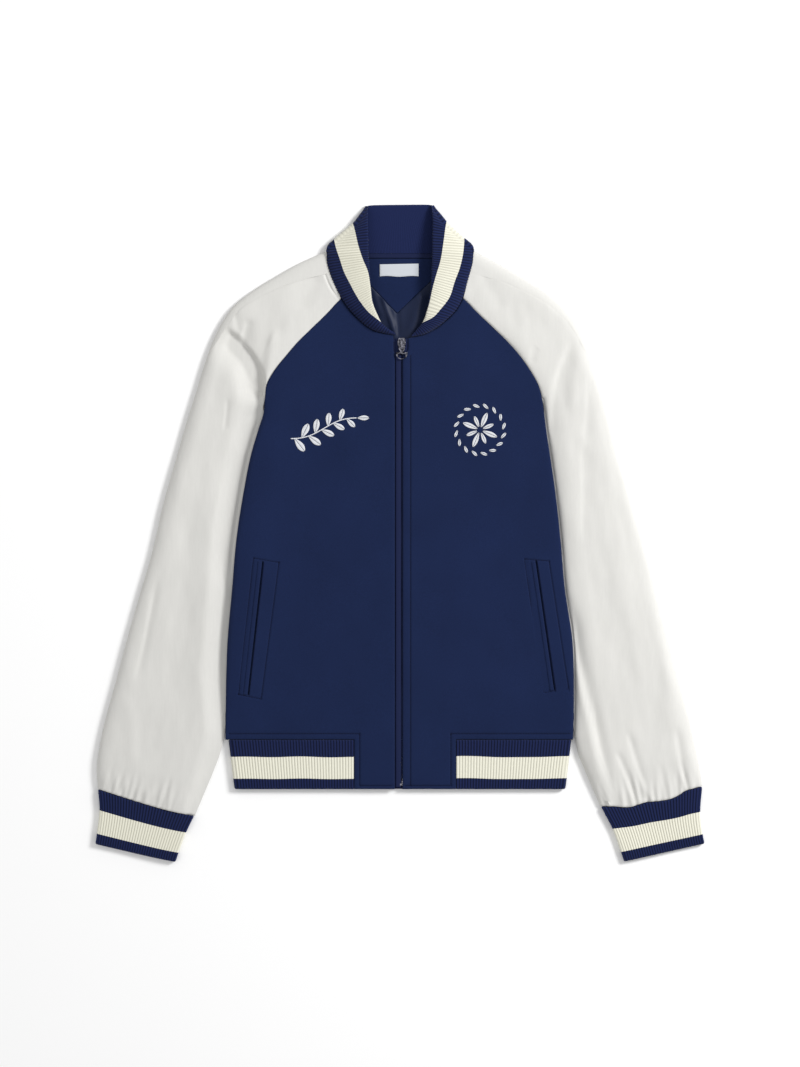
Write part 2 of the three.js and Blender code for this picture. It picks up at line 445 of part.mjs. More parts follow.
// ---- collar rib: one strip from zip end to zip end, folded behind each
// shoulder; its back half lies on the surface with the inner face up ----------
{
  const half = s => {
    const T = COLLAR[s], sg = s === 'right' ? -1 : 1, c = [];
    const len = [0];
    for (let k = 1; k < T.length; k++) len.push(len[k - 1] + Math.hypot(T[k][0] - T[k - 1][0], T[k][1] - T[k - 1][1]));
    const total = len[len.length - 1], ribs = 2 * Math.round(total / RIB_PITCH), cut = new Map();
    // even rib columns, snapped so that each table row is one of them
    T.forEach((row, k) => cut.set(Math.round(len[k] / total * ribs), k));
    const keys = [...cut.keys()].sort((p, q) => p - q);
    for (let k = 0; k <= ribs; k++) {
      const m = Math.max(0, keys.findLastIndex(v => v <= k)), k0 = keys[m], k1 = keys[Math.min(keys.length - 1, m + 1)];
      const t = k1 > k0 ? (k - k0) / (k1 - k0) : 0, r = mix(T[cut.get(k0)], T[cut.get(k1)], t);
      const end = k === 0 || k === ribs;
      c.push({ n: r.slice(0, 3), f: r.slice(3), out: [0, 0, 1], rib: end ? 0 : ribLift(k), bulge: 2.2 * Math.min(1, k / ribs * 4), plain: cut.has(k) });
    }
    // round the fold
    const last = T[T.length - 1], n = last.slice(0, 3), f = last.slice(3), d = [f[0] - n[0], f[1] - n[1]], L = Math.hypot(d[0], d[1]);
    const e = [sg * Math.abs(d[1]) / L, Math.abs(d[0]) / L];
    for (const deg of [45, 0, -45]) {
      const a = deg * Math.PI / 180, q = p => {
        const r = p[2] / 2;
        return [p[0] + e[0] * r * Math.cos(a), p[1] + e[1] * r * Math.cos(a), r + r * Math.sin(a)];
      };
      c.push({ n: q(n), f: q(f), out: [e[0] * Math.cos(a), e[1] * Math.cos(a), Math.sin(a)], rib: 0, bulge: 1.1 * (1 + Math.sin(a)), plain: true });
    }
    return c;
  };
  const a = half('right'), b = half('left').reverse(), back = [];
  const N0 = [-91.8, 358.6], N1 = [-62, 355.6], N2 = [62, 355.6], N3 = [91, 358.8], F0 = [-41.4, 412.5], F3 = [39.6, 413.4];
  for (const t of [0, 0.16, 0.34, 0.5, 0.66, 0.84, 1]) {
    const n = t < 0.16 ? mix(N0, N1, t / 0.16) : t > 0.84 ? mix(N2, N3, (t - 0.84) / 0.16) : mix(N1, N2, (t - 0.16) / 0.68);
    back.push({ n: [...n, 0], f: [...mix(F0, F3, t), 0], out: [0, 0, -1], rib: 0, plain: true });
  }
  ribStrip('collar_rib', [...a, ...back, ...b], [0, 0.3, 0.65, 1], 8);
}

// ---- inside the neck -------------------------------------------------------
const facingEdge = x => 279 + (x < -4.4 ? (-4.4 - x) * 1.06 : (x + 4.4) * 0.95);
{
  const xs = [-58, -46, -34, -24, -14, -4.4, 6, 16, 26, 36, 47, 58];
  const z = BACK_WALL + SEAM;
  const facing = [0, 0.5, 1].map(t => xs.map(x => [x, lerp(348.8, facingEdge(x) + SEAM, t), z + 1.5]));
  wall('neck_facing', facing, lower(facing, () => 1.5), COLOUR.facing, 0.95);
  const tape = [355.3, 349.4].map(y => [-56, 0, 56].map(x => [x, y, z + 1.7]));
  wall('neck_tape', tape, lower(tape, () => 1.7), COLOUR.tape, 0.8);
  // lining under the facing's point, drawn into soft folds towards the zip
  const ridge = (x, y, x1, y1, x2, y2, h, w) => {
    const t = Math.max(0, Math.min(1, (y1 - y) / (y1 - y2))), d = (x - lerp(x1, x2, t)) / w;
    return h * Math.exp(-d * d) * Math.min(1, t * 4) * Math.min(1, (1 - t) * 5);
  };
  const lx = [-56, -44, -34, -27, -21, -15, -9, -4.4, 0, 4, 9, 15, 21, 27, 34, 44, 56];
  const liner = [0, 0.2, 0.42, 0.64, 0.84, 1].map(t => lx.map(x => {
    const y = lerp(facingEdge(x) - 0.1, 226, t);
    return [x, y, z + 1.2 + ridge(x, y, -20, 300, -9, 240, 2.2, 6) + ridge(x, y, 17, 304, 5, 240, 2.8, 8)];
  }));
  wall('lining', liner, lower(liner, p => 1.1 + 0.5 * (p[2] - z - 1.2)), COLOUR.lining, 0.35);
}
{ // blank woven neck label, slightly waved along its lower edge
  const z = BACK_WALL + SEAM + 1.5 + SEAM, xs = [-26.3, -14, -2, 10.5, 23];
  const drop = [0, 0.6, -0.6, 0.5, -0.4];
  const label = [0, 1].map(t => xs.map((x, k) => [x, t ? 326.4 + drop[k] : 341.6 + k * 0.3, z + 0.8]));
  wall('neck_label', label, lower(label, () => 0.8), COLOUR.label, 0.7);
}

// ---- zip -------------------------------------------------------------------
for (const side of ['right', 'left']) {
  const sg = side === 'right' ? -1 : 1, z = 5.7, ys = [-321, -160, 0, 160, 228];
  const tape = ys.map(y => [ZIP_X + sg * 0.3, ZIP_X + sg * 3, ZIP_X + sg * 14].map(x => [x, y, z]));
  wall('zip_tape_' + side, tape, lower(tape, () => 1.2), COLOUR.tape, 0.8);
}
const box = (x0, x1, y0, y1, z0, z1) => new THREE.BoxGeometry(x1 - x0, y1 - y0, z1 - z0)
  .translate((x0 + x1) / 2, (y0 + y1) / 2, (z0 + z1) / 2);
const plate = (points, holes, depth) => {
  const s = new THREE.Shape(points.map(([x, y]) => new THREE.Vector2(x, y)));
  for (const h of holes) s.holes.push(new THREE.Path(h.map(([x, y]) => new THREE.Vector2(x, y))));
  return new THREE.ExtrudeGeometry(s, { depth, bevelEnabled: false, steps: 1 });
};
addGeometry('zip_box', box(ZIP_X - 3.6, ZIP_X + 0.8, -322, -311, 6.1, 8.6), COLOUR.metal, 0.35, 1);
{
  const wasm = await Module();
  wasm.setup();
  const solid = g => {
    const h = g.clone(); h.deleteAttribute('normal'); h.deleteAttribute('uv');
    const m = mergeVertices(h);
    return new wasm.Manifold(new wasm.Mesh({ numProp: 3, vertProperties: new Float32Array(m.attributes.position.array), triVerts: new Uint32Array(m.index.array) }));
  };
  const X = ZIP_X;
  // slider: shield-shaped plate with a bridge over it for the pull
  const body = plate([[X - 3.1, 231.4], [X + 3.1, 231.4], [X + 5, 240], [X + 5, 245.4], [X + 3.4, 247.8], [X - 3.4, 247.8],
    [X - 5, 245.4], [X - 5, 240]], [], 3).translate(0, 0, 6.1);
  const bridge = plate([[234.3, 0], [246.4, 0], [246.4, 3], [244.6, 4.2], [236.2, 4.2], [234.3, 3]],
    [[[235.8, 0.6], [235.8, 2.7], [236.8, 3.1], [244, 3.1], [244.6, 2.7], [244.6, 0.6]]], 2.4);
  bridge.applyMatrix4(new THREE.Matrix4().set(0, 0, 1, X - 1.2, 1, 0, 0, 0, 0, 1, 0, 8.7, 0, 0, 0, 1));
  const mesh = solid(body).add(solid(bridge)).getMesh();
  const g = new THREE.BufferGeometry();
  g.setAttribute('position', new THREE.BufferAttribute(new Float32Array(mesh.vertProperties), 3));
  g.setIndex([...mesh.triVerts]);
  g.computeVertexNormals();
  addGeometry('zip_slider', g, COLOUR.metal, 0.35, 1);
  // pull: an eye round the bridge, a neck and a half-round ring
  const arc = (cx, cy, r, n) => Array.from({ length: n + 1 }, (_, k) => {
    const a = Math.PI + Math.PI * k / n;
    return [cx + r * Math.cos(a), cy + r * 1.06 * Math.sin(a)];
  });
  const pull = plate([[X - 3.4, 243.2], [X - 3.4, 232.6], [X - 2, 231], [X - 2, 229.6], [X - 7.4, 229.4], ...arc(X, 228.4, 7.4, 10).slice(1, -1),
    [X + 7.4, 229.4], [X + 2, 229.6], [X + 2, 231], [X + 3.4, 232.6], [X + 3.4, 243.2]],
    [[[X - 2.1, 241.8], [X + 2.1, 241.8], [X + 2.1, 233.4], [X - 2.1, 233.4]],
      [[X - 5.2, 227.4], [X + 5.2, 227.4], ...arc(X, 226.6, 5, 8).reverse()]], 1.2).translate(0, 0, 9.8);
  addGeometry('zip_pull', pull, COLOUR.metal, 0.35, 1);
}

// ---- pocket welts, laid on the fronts --------------------------------------
const WELT = { right: [[-177.7, -35.6], [-171.9, -35.4], [-196.6, -206.5], [-190.8, -206.7]],
  left: [[168.9, -34.3], [174.4, -34.5], [193, -200.7], [198.5, -200.5]] };
for (const side of ['right', 'left']) {
  const [a, b, c, d] = WELT[side];
  const grid = Array.from({ length: 9 }, (_, j) => [0, 1].map(i => {
    const p = mix(mix(a, c, j / 8), mix(b, d, j / 8), i);
    return [...p, frontZ(side, p[0], p[1]) + 0.6 + 1.3];
  }));
  wall('pocket_welt_' + side, grid, lower(grid, () => 1.3), COLOUR.wool, 0.95);
}

export default group;
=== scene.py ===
"""Looks of the bomber jacket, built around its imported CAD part.

The jacket lies flat on its back with the zip closed. Tables are in
millimetres in the part's own frame and start from the sizes of its CAD
source; Blender gets metres. "right" is the wearer's right, which is -X here.
"""
import math
from types import SimpleNamespace

import bpy
import numpy as np
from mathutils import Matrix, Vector


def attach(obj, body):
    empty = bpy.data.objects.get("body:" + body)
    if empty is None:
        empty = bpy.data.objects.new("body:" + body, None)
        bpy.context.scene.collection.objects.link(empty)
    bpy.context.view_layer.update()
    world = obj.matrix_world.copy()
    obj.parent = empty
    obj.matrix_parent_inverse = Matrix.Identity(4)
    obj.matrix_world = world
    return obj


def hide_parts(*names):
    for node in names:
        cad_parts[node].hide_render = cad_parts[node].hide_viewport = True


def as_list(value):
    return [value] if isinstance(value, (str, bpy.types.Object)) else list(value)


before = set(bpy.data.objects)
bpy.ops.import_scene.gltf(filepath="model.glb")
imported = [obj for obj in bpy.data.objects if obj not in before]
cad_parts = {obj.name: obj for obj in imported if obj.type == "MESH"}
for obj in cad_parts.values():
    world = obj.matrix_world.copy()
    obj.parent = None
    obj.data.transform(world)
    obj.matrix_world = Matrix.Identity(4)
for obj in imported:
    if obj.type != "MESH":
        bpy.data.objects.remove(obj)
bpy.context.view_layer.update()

MM = 0.001
SIDES = {"right": -1, "left": 1}
COLUMN = {"right": 1, "left": 2}     # x of a side in BODY and BACK_RAGLAN

# ---- driving sizes ---------------------------------------------------------
FRONT_Z, FRONT_LOW = 8.6, 6.2        # upper and lower face of the fronts
BACK_WALL, LIFT = 2.0, 3.9           # back cloth, and its rise over a sleeve
DOME = 12.2                          # height of a sleeve's upper layer
FOLD_MID = 4.2                       # height of the outermost line of a sleeve
FLANK = {"right": 0.05, "left": 1}   # how round a sleeve is beside the body
OVERARM_DIP = 0.1                    # dent of the seam over the arm
RIB_PITCH, RIB_RISE, RIB_WALL = 3.7, 0.9, 2.4
COLUMNS_PER_RIB, LOOP_PITCH = 8, 1.5
HEM_SEAM, HEM_END = -262.5, -325.4
PLACKET_X = {"right": -59.0, "left": 70.6}
EDGE_X = {"right": -7.2, "left": 2.6}
EDGE_TOP_X = {"right": -9.0, "left": 9.6}   # zip edges part round the slider
SLIDER_Y = (224.0, 234.0)                   # where they part
ZIP_X = 1.6
STITCH, STITCH_GAP, THREAD, THREAD_PITCH = 2.5, 0.9, 0.55, 0.55

# ---- tables ----------------------------------------------------------------
# Body outline: y, right x, left x, tuck of the sleeve under the body.
BODY = np.array([
    [-262.5, -222.4, 219.2, 0], [-245, -222.4, 219.8, 0], [-228, -222.1, 220.2, 0],
    [-192, -221.6, 220.3, 22], [-136, -219.6, 218.5, 39], [-72, -214, 209, 46],
    [-9, -208.6, 203.5, 49], [52, -199.3, 196.8, 45], [103, -189, 189.5, 35],
    [133, -180, 185, 17], [154, -173.5, 182.3, 0], [171.5, -172, 179.7, 0],
    [189, -169.5, 174.6, 0], [207, -159.4, 164.5, 0], [225, -145.4, 151.8, 0],
    [243, -130.2, 136.5, 0], [262, -111, 117, 0], [281, -92, 97, 0],
    [298.4, -75.6, 80, 0]])
UNDERARM_Y = 171.5
# Neck seam of each front, neck point to zip: x, y.
NECK = {
    "right": np.array([[-75.6, 298.4], [-64, 282], [-56.5, 274], [-44.6, 263.5],
                       [-34.4, 257], [-21.6, 253.4], [-9, 251]]),
    "left": np.array([[80, 298.4], [70.5, 282], [61.6, 272.5], [46.4, 260],
                      [29.5, 251.5], [14, 248.4], [9.6, 247.6]])}
# Sleeve rows from the cuff up: outer fold x, y; overarm seam x, y (0 where it
# runs along the fold); inner edge x (0 where it follows the body), y; height
# at the inner edge.
SLEEVE = {
    "right": np.array([
        [-384.8, -325.1, 0, 0, -261.6, -358.6, 3.4], [-386.1, -298.4, 0, 0, -250.8, -332.7, 3.4],
        [-381.6, -265.4, 0, 0, -238.1, -302.3, 3.4], [-374, -232.4, 0, 0, -228, -273.1, 3.4],
        [-367.7, -209.6, 0, 0, 0, -245, 3.4], [-361.3, -186.7, 0, 0, 0, -228, 3.4],
        [-349.9, -143.5, 0, 0, 0, -192, 3.4], [-333.4, -85.1, 0, 0, 0, -136, 3.4],
        [-315.6, -24.1, 0, 0, 0, -72, 3.4], [-301.6, 36.8, 0, 0, 0, -9, 3.4],
        [-285.1, 95.2, 0, 0, 0, 52, 3.4], [-271.1, 143.5, 0, 0, 0, 103, 3.4],
        [-262.3, 171.4, 0, 0, 0, 133, 3.4], [-254.6, 196.8, 0, 0, 0, 154, 5],
        [-245.7, 224.8, 0, 0, 0, 171.5, 10], [-238.1, 245.1, -233, 242.6, 0, 189, 14.4],
        [-226.7, 268, -219.7, 262.9, 0, 207, 13.4], [-214, 286.4, -209, 278, 0, 225, 12],
        [-200, 299.1, -198, 288.3, 0, 243, 10.4], [-181, 312.4, -179.5, 299.1, 0, 262, 8.9],
        [-158.1, 326.4, -156.8, 309.9, 0, 281, 8.6],
        [-131.4, 341.6, -127.6, 320, -83.9, 290.2, 8.6],
        [-94, 358.6, -88.8, 330.6, -75.8, 298.2, 8.6]]),
    "left": np.array([
        [383.9, -321.7, 0, 0, 254.3, -346.7, 3.4], [380.4, -298.4, 0, 0, 243.2, -321.3, 3.4],
        [374, -269.2, 0, 0, 233, -297.2, 3.4], [366.4, -235, 0, 0, 224.8, -275.6, 3.4],
        [358.8, -207, 0, 0, 0, -245, 3.4], [352.4, -184.2, 0, 0, 0, -228, 3.4],
        [341, -141, 0, 0, 0, -192, 3.4], [327, -85.1, 0, 0, 0, -136, 3.4],
        [311.8, -25.4, 0, 0, 0, -72, 3.4], [295.3, 34.3, 0, 0, 0, -9, 3.4],
        [278.8, 90.2, 0, 0, 0, 52, 3.4], [266.1, 138.4, 0, 0, 0, 103, 3.4],
        [259.1, 166.4, 0, 0, 0, 133, 3.4], [250.8, 193, 0, 0, 0, 154, 3.4],
        [243.8, 217.2, 0, 0, 0, 171.5, 6], [236.9, 237.5, 231.8, 235.6, 0, 189, 8.2],
        [229.2, 256.5, 222.2, 253, 0, 207, 8.6], [217.8, 275.6, 211.6, 268.5, 0, 225, 8.6],
        [203.8, 290.2, 198.5, 280.5, 0, 243, 8.6], [186.1, 305.4, 181.7, 293.5, 0, 262, 8.6],
        [160.7, 321.3, 156.8, 306.5, 0, 281, 8.6],
        [132.7, 337.8, 129.5, 318.9, 88.6, 290.2, 8.6],
        [93.4, 359, 87.2, 330.4, 80, 298.2, 8.6]])}
RAGLAN_ROW = 14                     # from this row the sleeve meets the front
# Back raglan seams, underarm to back neck: y, right x, left x.
BACK_RAGLAN = np.array([
    [171.5, -172, 179.7], [189, -163, 169.5], [212, -150.5, 156], [236, -137, 141.5],
    [260, -123, 127], [284, -108.5, 112], [308, -93.5, 96.5], [332, -78, 80],
    [354.8, -62.5, 64]])
# Front halves of the collar, zip end to peak: the seam line, which goes on
# along the fold behind the shoulder, and the free edge across from it; x, y, z.
COLLAR_FOLD_ROW = 10
COLLAR = {
    "right": np.array([
        [-6, 252, 9.6, -6.6, 253.6, 10.6], [-21.6, 254.2, 9.6, -17, 260.5, 13.5],
        [-34.4, 257.8, 9.6, -24.8, 268, 16], [-44.6, 264.4, 9.6, -30, 279, 17.6],
        [-56.2, 275, 9.6, -34, 290, 19], [-63.6, 283, 9.6, -35.8, 300, 19.5],
        [-75, 299.2, 9.6, -37.4, 314, 20], [-84.2, 316.6, 9.7, -38.6, 328, 20.4],
        [-90, 332, 9.8, -39.7, 341, 20.4], [-93.4, 346.7, 9.9, -40.5, 352, 20],
        [-91.8, 358.6, 10, -40.9, 362, 19], [-79.6, 370.4, 10.4, -41.1, 374, 17.8],
        [-67.5, 380.2, 11, -41.4, 385, 16], [-56, 389.8, 11.4, -41.6, 396, 14.5],
        [-48, 401.5, 9.8, -41.6, 405, 11.2], [-44.4, 408.6, 7.4, -41.5, 410.5, 8.4],
        [-42.2, 415.4, 3.9, -41.2, 416.2, 4.5]]),
    "left": np.array([
        [14, 249.6, 9.6, 14.6, 251.2, 10.6], [29.5, 252.4, 9.6, 22.5, 260.5, 13.5],
        [46, 261, 9.6, 28.6, 268.5, 16], [61.2, 273.5, 9.6, 32.8, 280, 17.5],
        [66, 278, 9.6, 34.6, 288, 18.5], [70.2, 283, 9.6, 36.4, 297, 19.3],
        [79.4, 299.2, 9.6, 38.4, 312, 20], [84.4, 316.6, 9.7, 39.3, 327, 20.4],
        [88.6, 332, 9.8, 39.7, 340, 20.4], [91.8, 346.7, 9.9, 40.1, 351, 20],
        [91, 358.8, 10, 40.3, 361, 19], [77.5, 371.2, 10.4, 40.5, 374, 17.8],
        [66, 381, 11, 40.7, 385, 16], [55, 391.3, 11.4, 40.8, 396, 14.5],
        [47, 402.5, 9.8, 40.5, 405.5, 11.2], [42.6, 409.6, 7.4, 39.8, 411.4, 8.4],
        [40.2, 416.3, 3.9, 39.2, 417.1, 4.5]])}
# Where the cream stripe of the collar starts and ends.
COLLAR_LINES = {
    "right": ([(-25, 268), (-30, 271.8), (-38.7, 278.5), (-51.4, 293.9), (-64, 316), (-71.8, 331.5),
               (-76.8, 346.7), (-81.9, 362), (-86, 380)],
              [(-25, 268), (-30.1, 278.5), (-35.2, 291.3), (-38.1, 312.4), (-41.3, 331.5), (-47.6, 346.7),
               (-52.7, 362), (-60.3, 392.4), (-64, 402)]),
    "left": ([(26, 266), (42.2, 274.3), (50.7, 283.6), (62.6, 299.7), (68.5, 318), (75.5, 337),
              (79.6, 356), (81.3, 376), (82, 386)],
             [(28.6, 268.4), (35.4, 287), (41.3, 312.4), (45.6, 327.7), (50.2, 343), (55, 372),
              (57.8, 392), (60, 402)])}
# Cuff rows from the sleeve to the mouth: outer x, y, inner x, y, height.
CUFF = {
    "right": np.array([
        [-384.9, -325.7, -261.8, -359.1, 8.2], [-382.9, -351.8, -271.8, -379.7, 7.8],
        [-386.2, -381, -281.3, -405.1, 7.6], [-388.4, -395, -285.5, -417.8, 7.2]]),
    "left": np.array([
        [384, -322.3, 254.5, -347.3, 8.2], [381.6, -354.3, 269.1, -375.5, 7.8],
        [384.6, -382, 279.7, -404.9, 7.6], [387, -394.7, 283.8, -417.8, 7.2]])}
# How far the cuff seam sags below a straight line, from its outer end to its
# inner end, and how far from the seam that is felt.
CUFF_SAG = {
    "right": ([0, 0.25, 0.4, 0.9, 1], [0, 1.5, 2.4, 2.0, 0.8], 60),
    "left": ([0, 0.1, 0.18, 0.25, 0.33, 0.41, 0.49, 0.57, 0.64, 0.72, 0.8, 0.88, 1],
             [0, 0.4, 1.8, 5.8, 8.0, 8.1, 7.1, 6.3, 7.3, 8.4, 6.5, 3.6, 0.5], 26)}
# Pocket mouths: upper and lower end of the slit, and the frame's half width.
POCKET = {"right": [(-174.8, -35.5), (-193.7, -206.6)], "left": [(171.7, -34.4), (195.7, -200.6)]}
POCKET_FRAME = {
    "right": [(-186.4, -31.8), (-154.3, -37.3), (-176.9, -210.8), (-205.4, -205.0)],
    "left": [(157.4, -33.0), (188.6, -35.6), (213.5, -197.8), (182.2, -202.8)]}
# Stripes of the ribs by distance from the seam: navy, cream, navy.
HEM_STRIPE, COLLAR_STRIPE = (21.6, 49.6), (16.5, 44.5)
CUFF_STRIPE = (26.5, 57.0)

# ---- folds: a line of points, rise, half width on its left and right -------
# (left and right as one walks along the line). A fold fades at both ends.
FOLDS = {
    "sleeve_right": [
        ([(-226, 262), (-205, 240), (-190, 222), (-181, 204), (-176, 188), (-177, 160)], -12, 5, 28),
        ([(-178, 178), (-183, 150), (-193, 108), (-204, 55), (-214, -20), (-222, -80)], -7.0, 7, 30),
        ([(-158, 262), (-166, 232), (-169, 204), (-172, 184)], 2.0, 10, 5),
        ([(-224, 264), (-204, 242), (-189, 222), (-180, 204), (-176, 186)], -2.4, 26, 8),
        ([(-191, 273), (-197, 255), (-200, 236)], -1.8, 8, 5),
        ([(-212, 285), (-208, 268), (-205, 250)], -1.2, 6, 4),
        ([(-219, 172), (-221, 150), (-223, 128)], -0.9, 5, 3),
        ([(-216, 225), (-210, 190), (-209, 150), (-216, 80)], 1.8, 10, 16),
        ([(-308, -50), (-318, -105), (-328, -154), (-337, -190)], -1.5, 7, 2.5),
        ([(-228, 110), (-238, -34), (-243, -110), (-248, -212), (-253, -290)], 1.8, 10, 20),
        ([(-222, -60), (-226, -150), (-231, -230), (-238, -280)], -1.2, 7, 7),
        ([(-262, 60), (-276, -40), (-284, -140), (-292, -230)], -1.2, 20, 16),
        ([(-250, 200), (-262, 120), (-285, 20), (-300, -60)], 0.9, 14, 14),
        ([(-120, 336), (-150, 305), (-176, 288), (-200, 262)], 0.9, 14, 18),
        ([(-100, 330), (-118, 305), (-130, 280)], -0.8, 12, 10),
        ([(-350, -200), (-340, -250), (-342, -300)], 1.2, 10, 14),
        ([(-104, 374), (-100.5, 356), (-96.5, 331), (-88.5, 311), (-76, 294)], -1.3, 1.6, 1.6)],
    "sleeve_left": [
        ([(226, 250), (213, 227), (203, 202), (197, 179), (193, 142), (192, 100)], -2.6, 18, 6),
        ([(222, 240), (222, 200), (217, 150)], 1.0, 10, 10),
        ([(240, 205), (238, 150), (234, 110)], -0.9, 9, 5),
        ([(232, 122), (234, 60), (232, -15)], -1.1, 14, 6),
        ([(172, 238), (168, 226), (166, 214)], -1.1, 5, 4),
        ([(214, -80), (219, -110), (226, -149), (236, -196), (248, -244), (258, -290), (269, -330)],
         -3.4, 10, 5),
        ([(206, -90), (213, -140), (226, -196), (239, -244), (249, -290), (260, -330)], 1.6, 6, 6),
        ([(288, -250), (298, -285), (311, -322)], -1.5, 6, 3),
        ([(274, -275), (285, -302), (299, -334)], -1.6, 6, 3),
        ([(350, -245), (356, -285), (364, -322)], -1.4, 6, 3.5),
        ([(258, 60), (276, -40), (296, -130), (312, -220)], 1.2, 18, 16),
        ([(246, 200), (262, 120), (285, 20), (318, -90)], -0.9, 14, 12),
        ([(120, 336), (150, 305), (176, 288), (200, 262)], 0.9, 18, 14),
        ([(100, 330), (118, 305), (130, 280)], -0.8, 10, 12),
        ([(330, -120), (340, -190), (345, -270)], 1.2, 12, 14)],
    "front_right": [
        ([(-95, 278), (-111, 262), (-130, 243), (-146, 225), (-160, 207), (-168, 189), (-166, 171),
          (-166, 150), (-170, 130), (-178, 96), (-188, 40), (-196, -20), (-204, -90), (-208, -170),
          (-210, -262)], 7.0, 45, 40),
        ([(-160, 200), (-110, 150), (-60, 110), (-20, 60)], 0.9, 24, 30),
        ([(-206, -20), (-150, -30), (-90, -10), (-30, -30)], 0.7, 26, 30),
        ([(-170, -236), (-110, -200), (-60, -190), (-20, -205)], 0.8, 22, 26),
        ([(-190, 110), (-160, 60), (-140, -10)], -0.5, 18, 22)],
    "front_left": [
        ([(178, 150), (184, 100), (192, 40), (201, -20), (208, -90), (214, -170), (215, -262)], 1.6, 12, 30),
        ([(166, 200), (115, 150), (70, 120), (30, 60)], 0.9, 30, 24),
        ([(196, -40), (140, -60), (90, -40), (30, -60)], 0.7, 26, 30),
        ([(170, -236), (120, -200), (80, -180), (30, -200)], 0.8, 26, 22),
        ([(186, 110), (158, 60), (140, -10)], -0.5, 22, 18)]}

# ---- numbers and curves ----------------------------------------------------
def smooth(keys, values, where):
    """Catmull-Rom curve through (keys, values), read at where and held at its ends."""
    keys, values = np.asarray(keys, float), np.asarray(values, float)
    if keys[0] > keys[-1]:
        keys, values = keys[::-1], values[::-1]
    where = np.clip(where, keys[0], keys[-1])
    step = np.diff(keys)
    slope = np.diff(values) / step
    m = np.empty_like(values)
    m[0], m[-1] = slope[0], slope[-1]
    m[1:-1] = (slope[:-1] * step[1:] + slope[1:] * step[:-1]) / (step[:-1] + step[1:])
    k = np.clip(np.searchsorted(keys, where, side="right") - 1, 0, len(step) - 1)
    t = (where - keys[k]) / step[k]
    return ((2 * t**3 - 3 * t**2 + 1) * values[k] + (t**3 - 2 * t**2 + t) * step[k] * m[k]
            + (3 * t**2 - 2 * t**3) * values[k + 1] + (t**3 - t**2) * step[k] * m[k + 1])


def ease(t):
    t = np.clip(t, 0, 1)
    return t * t * (3 - 2 * t)


def mix(a, b, t):
    return a + (b - a) * t


def quarter(t):
    """Rise of a quarter circle from 0 at t = 0 to 1 at t = 1."""
    return np.sqrt(1 - (1 - np.clip(t, 0, 1)) ** 2)


def grid(x, y, z):
    """Points of a grid, rows by columns."""
    return np.stack(np.broadcast_arrays(x, y, z), axis=2)


def round_trip(points):
    """The sides of a closed outline, as pairs of points."""
    return zip(points, points[1:] + points[:1])


def walked(points):
    """Length walked along a line at each of its points."""
    return np.r_[0, np.cumsum(np.linalg.norm(np.diff(points, axis=0), axis=1))]


def side_x(side, y):
    """Side seam, and above the underarm the raglan seam, of a front."""
    return smooth(BODY[:, 0], BODY[:, COLUMN[side]], y)


def neck_x(side, y):
    return np.interp(y, NECK[side][::-1, 1], NECK[side][::-1, 0])


def ripple(x, y, length, seed):
    """Gentle unevenness, about -1 to 1, with waves near the given length."""
    count = 10
    rng = np.random.default_rng(seed)
    total = 0
    for angle, phase, k in zip(rng.uniform(0, math.tau, count), rng.uniform(0, math.tau, count),
                               rng.uniform(0.7, 1.5, count)):
        total = total + np.sin((x * math.cos(angle) + y * math.sin(angle)) * math.tau * k / length + phase)
    return total / math.sqrt(count)


def line_points(points, count=28):
    """Points evenly along a smooth line through the given points."""
    points = np.asarray(points, float)
    s = walked(points)
    t = np.linspace(0, s[-1], count)
    return np.stack([smooth(s, points[:, k], t) for k in range(points.shape[1])], axis=1)


def distance(x, y, points):
    """Signed distance to a line (left of it is positive) and the share of its length walked."""
    best = np.full(np.shape(x), 1e9)
    signed, share = np.zeros_like(best), np.zeros_like(best)
    start = walked(points)
    steps, total = np.diff(start), start[-1]
    for k in range(len(points) - 1):
        (ax, ay), (dx, dy) = points[k], points[k + 1] - points[k]
        t = np.clip(((x - ax) * dx + (y - ay) * dy) / steps[k] ** 2, 0, 1)
        ox, oy = x - ax - t * dx, y - ay - t * dy
        d = np.hypot(ox, oy)
        near = d < best
        best = np.where(near, d, best)
        signed = np.where(near, d * np.where(dx * oy - dy * ox >= 0, 1, -1), signed)
        share = np.where(near, (start[k] + t * steps[k]) / total, share)
    return signed, share


def fold_height(x, y, line, rise, left, right, fade_in=0.22, fade_out=0.22):
    """Height of one fold, which fades over a share of its length at each end."""
    d, share = distance(x, y, line_points(line))
    width = np.where(d > 0, left, right)
    return rise * np.exp(-1.4 * (d / width) ** 2) * ease(share / fade_in) * ease((1 - share) / fade_out)


def folded(key, x, y):
    """Height of all folds of a piece."""
    return sum(fold_height(x, y, *fold) for fold in FOLDS[key])


def sagged(side, xy):
    """Points of a sleeve or cuff, moved down where the cuff seam sags."""
    keys, sag, width = CUFF_SAG[side]
    outer, inner = CUFF[side][0, 0:2], CUFF[side][0, 2:4]
    along = (inner - outer) / np.linalg.norm(inner - outer)
    down = np.array([along[1], -along[0]]) * -SIDES[side]
    share = (xy - outer) @ along / np.linalg.norm(inner - outer)
    amount = smooth(keys, sag, share) * np.exp(-(((xy - outer) @ down) / width) ** 2)
    return xy + down * amount[..., None]


def edge_roll(d, radius=2.2, drop=1.5):
    """How far a sewn edge has sunk at distance d from the edge."""
    return drop * (1 - quarter(d / radius))


def groove(d, width=1.1, depth=0.8):
    """The dent that a row of stitches pulls into the cloth."""
    return depth * np.exp(-(np.abs(d) / width) ** 2)


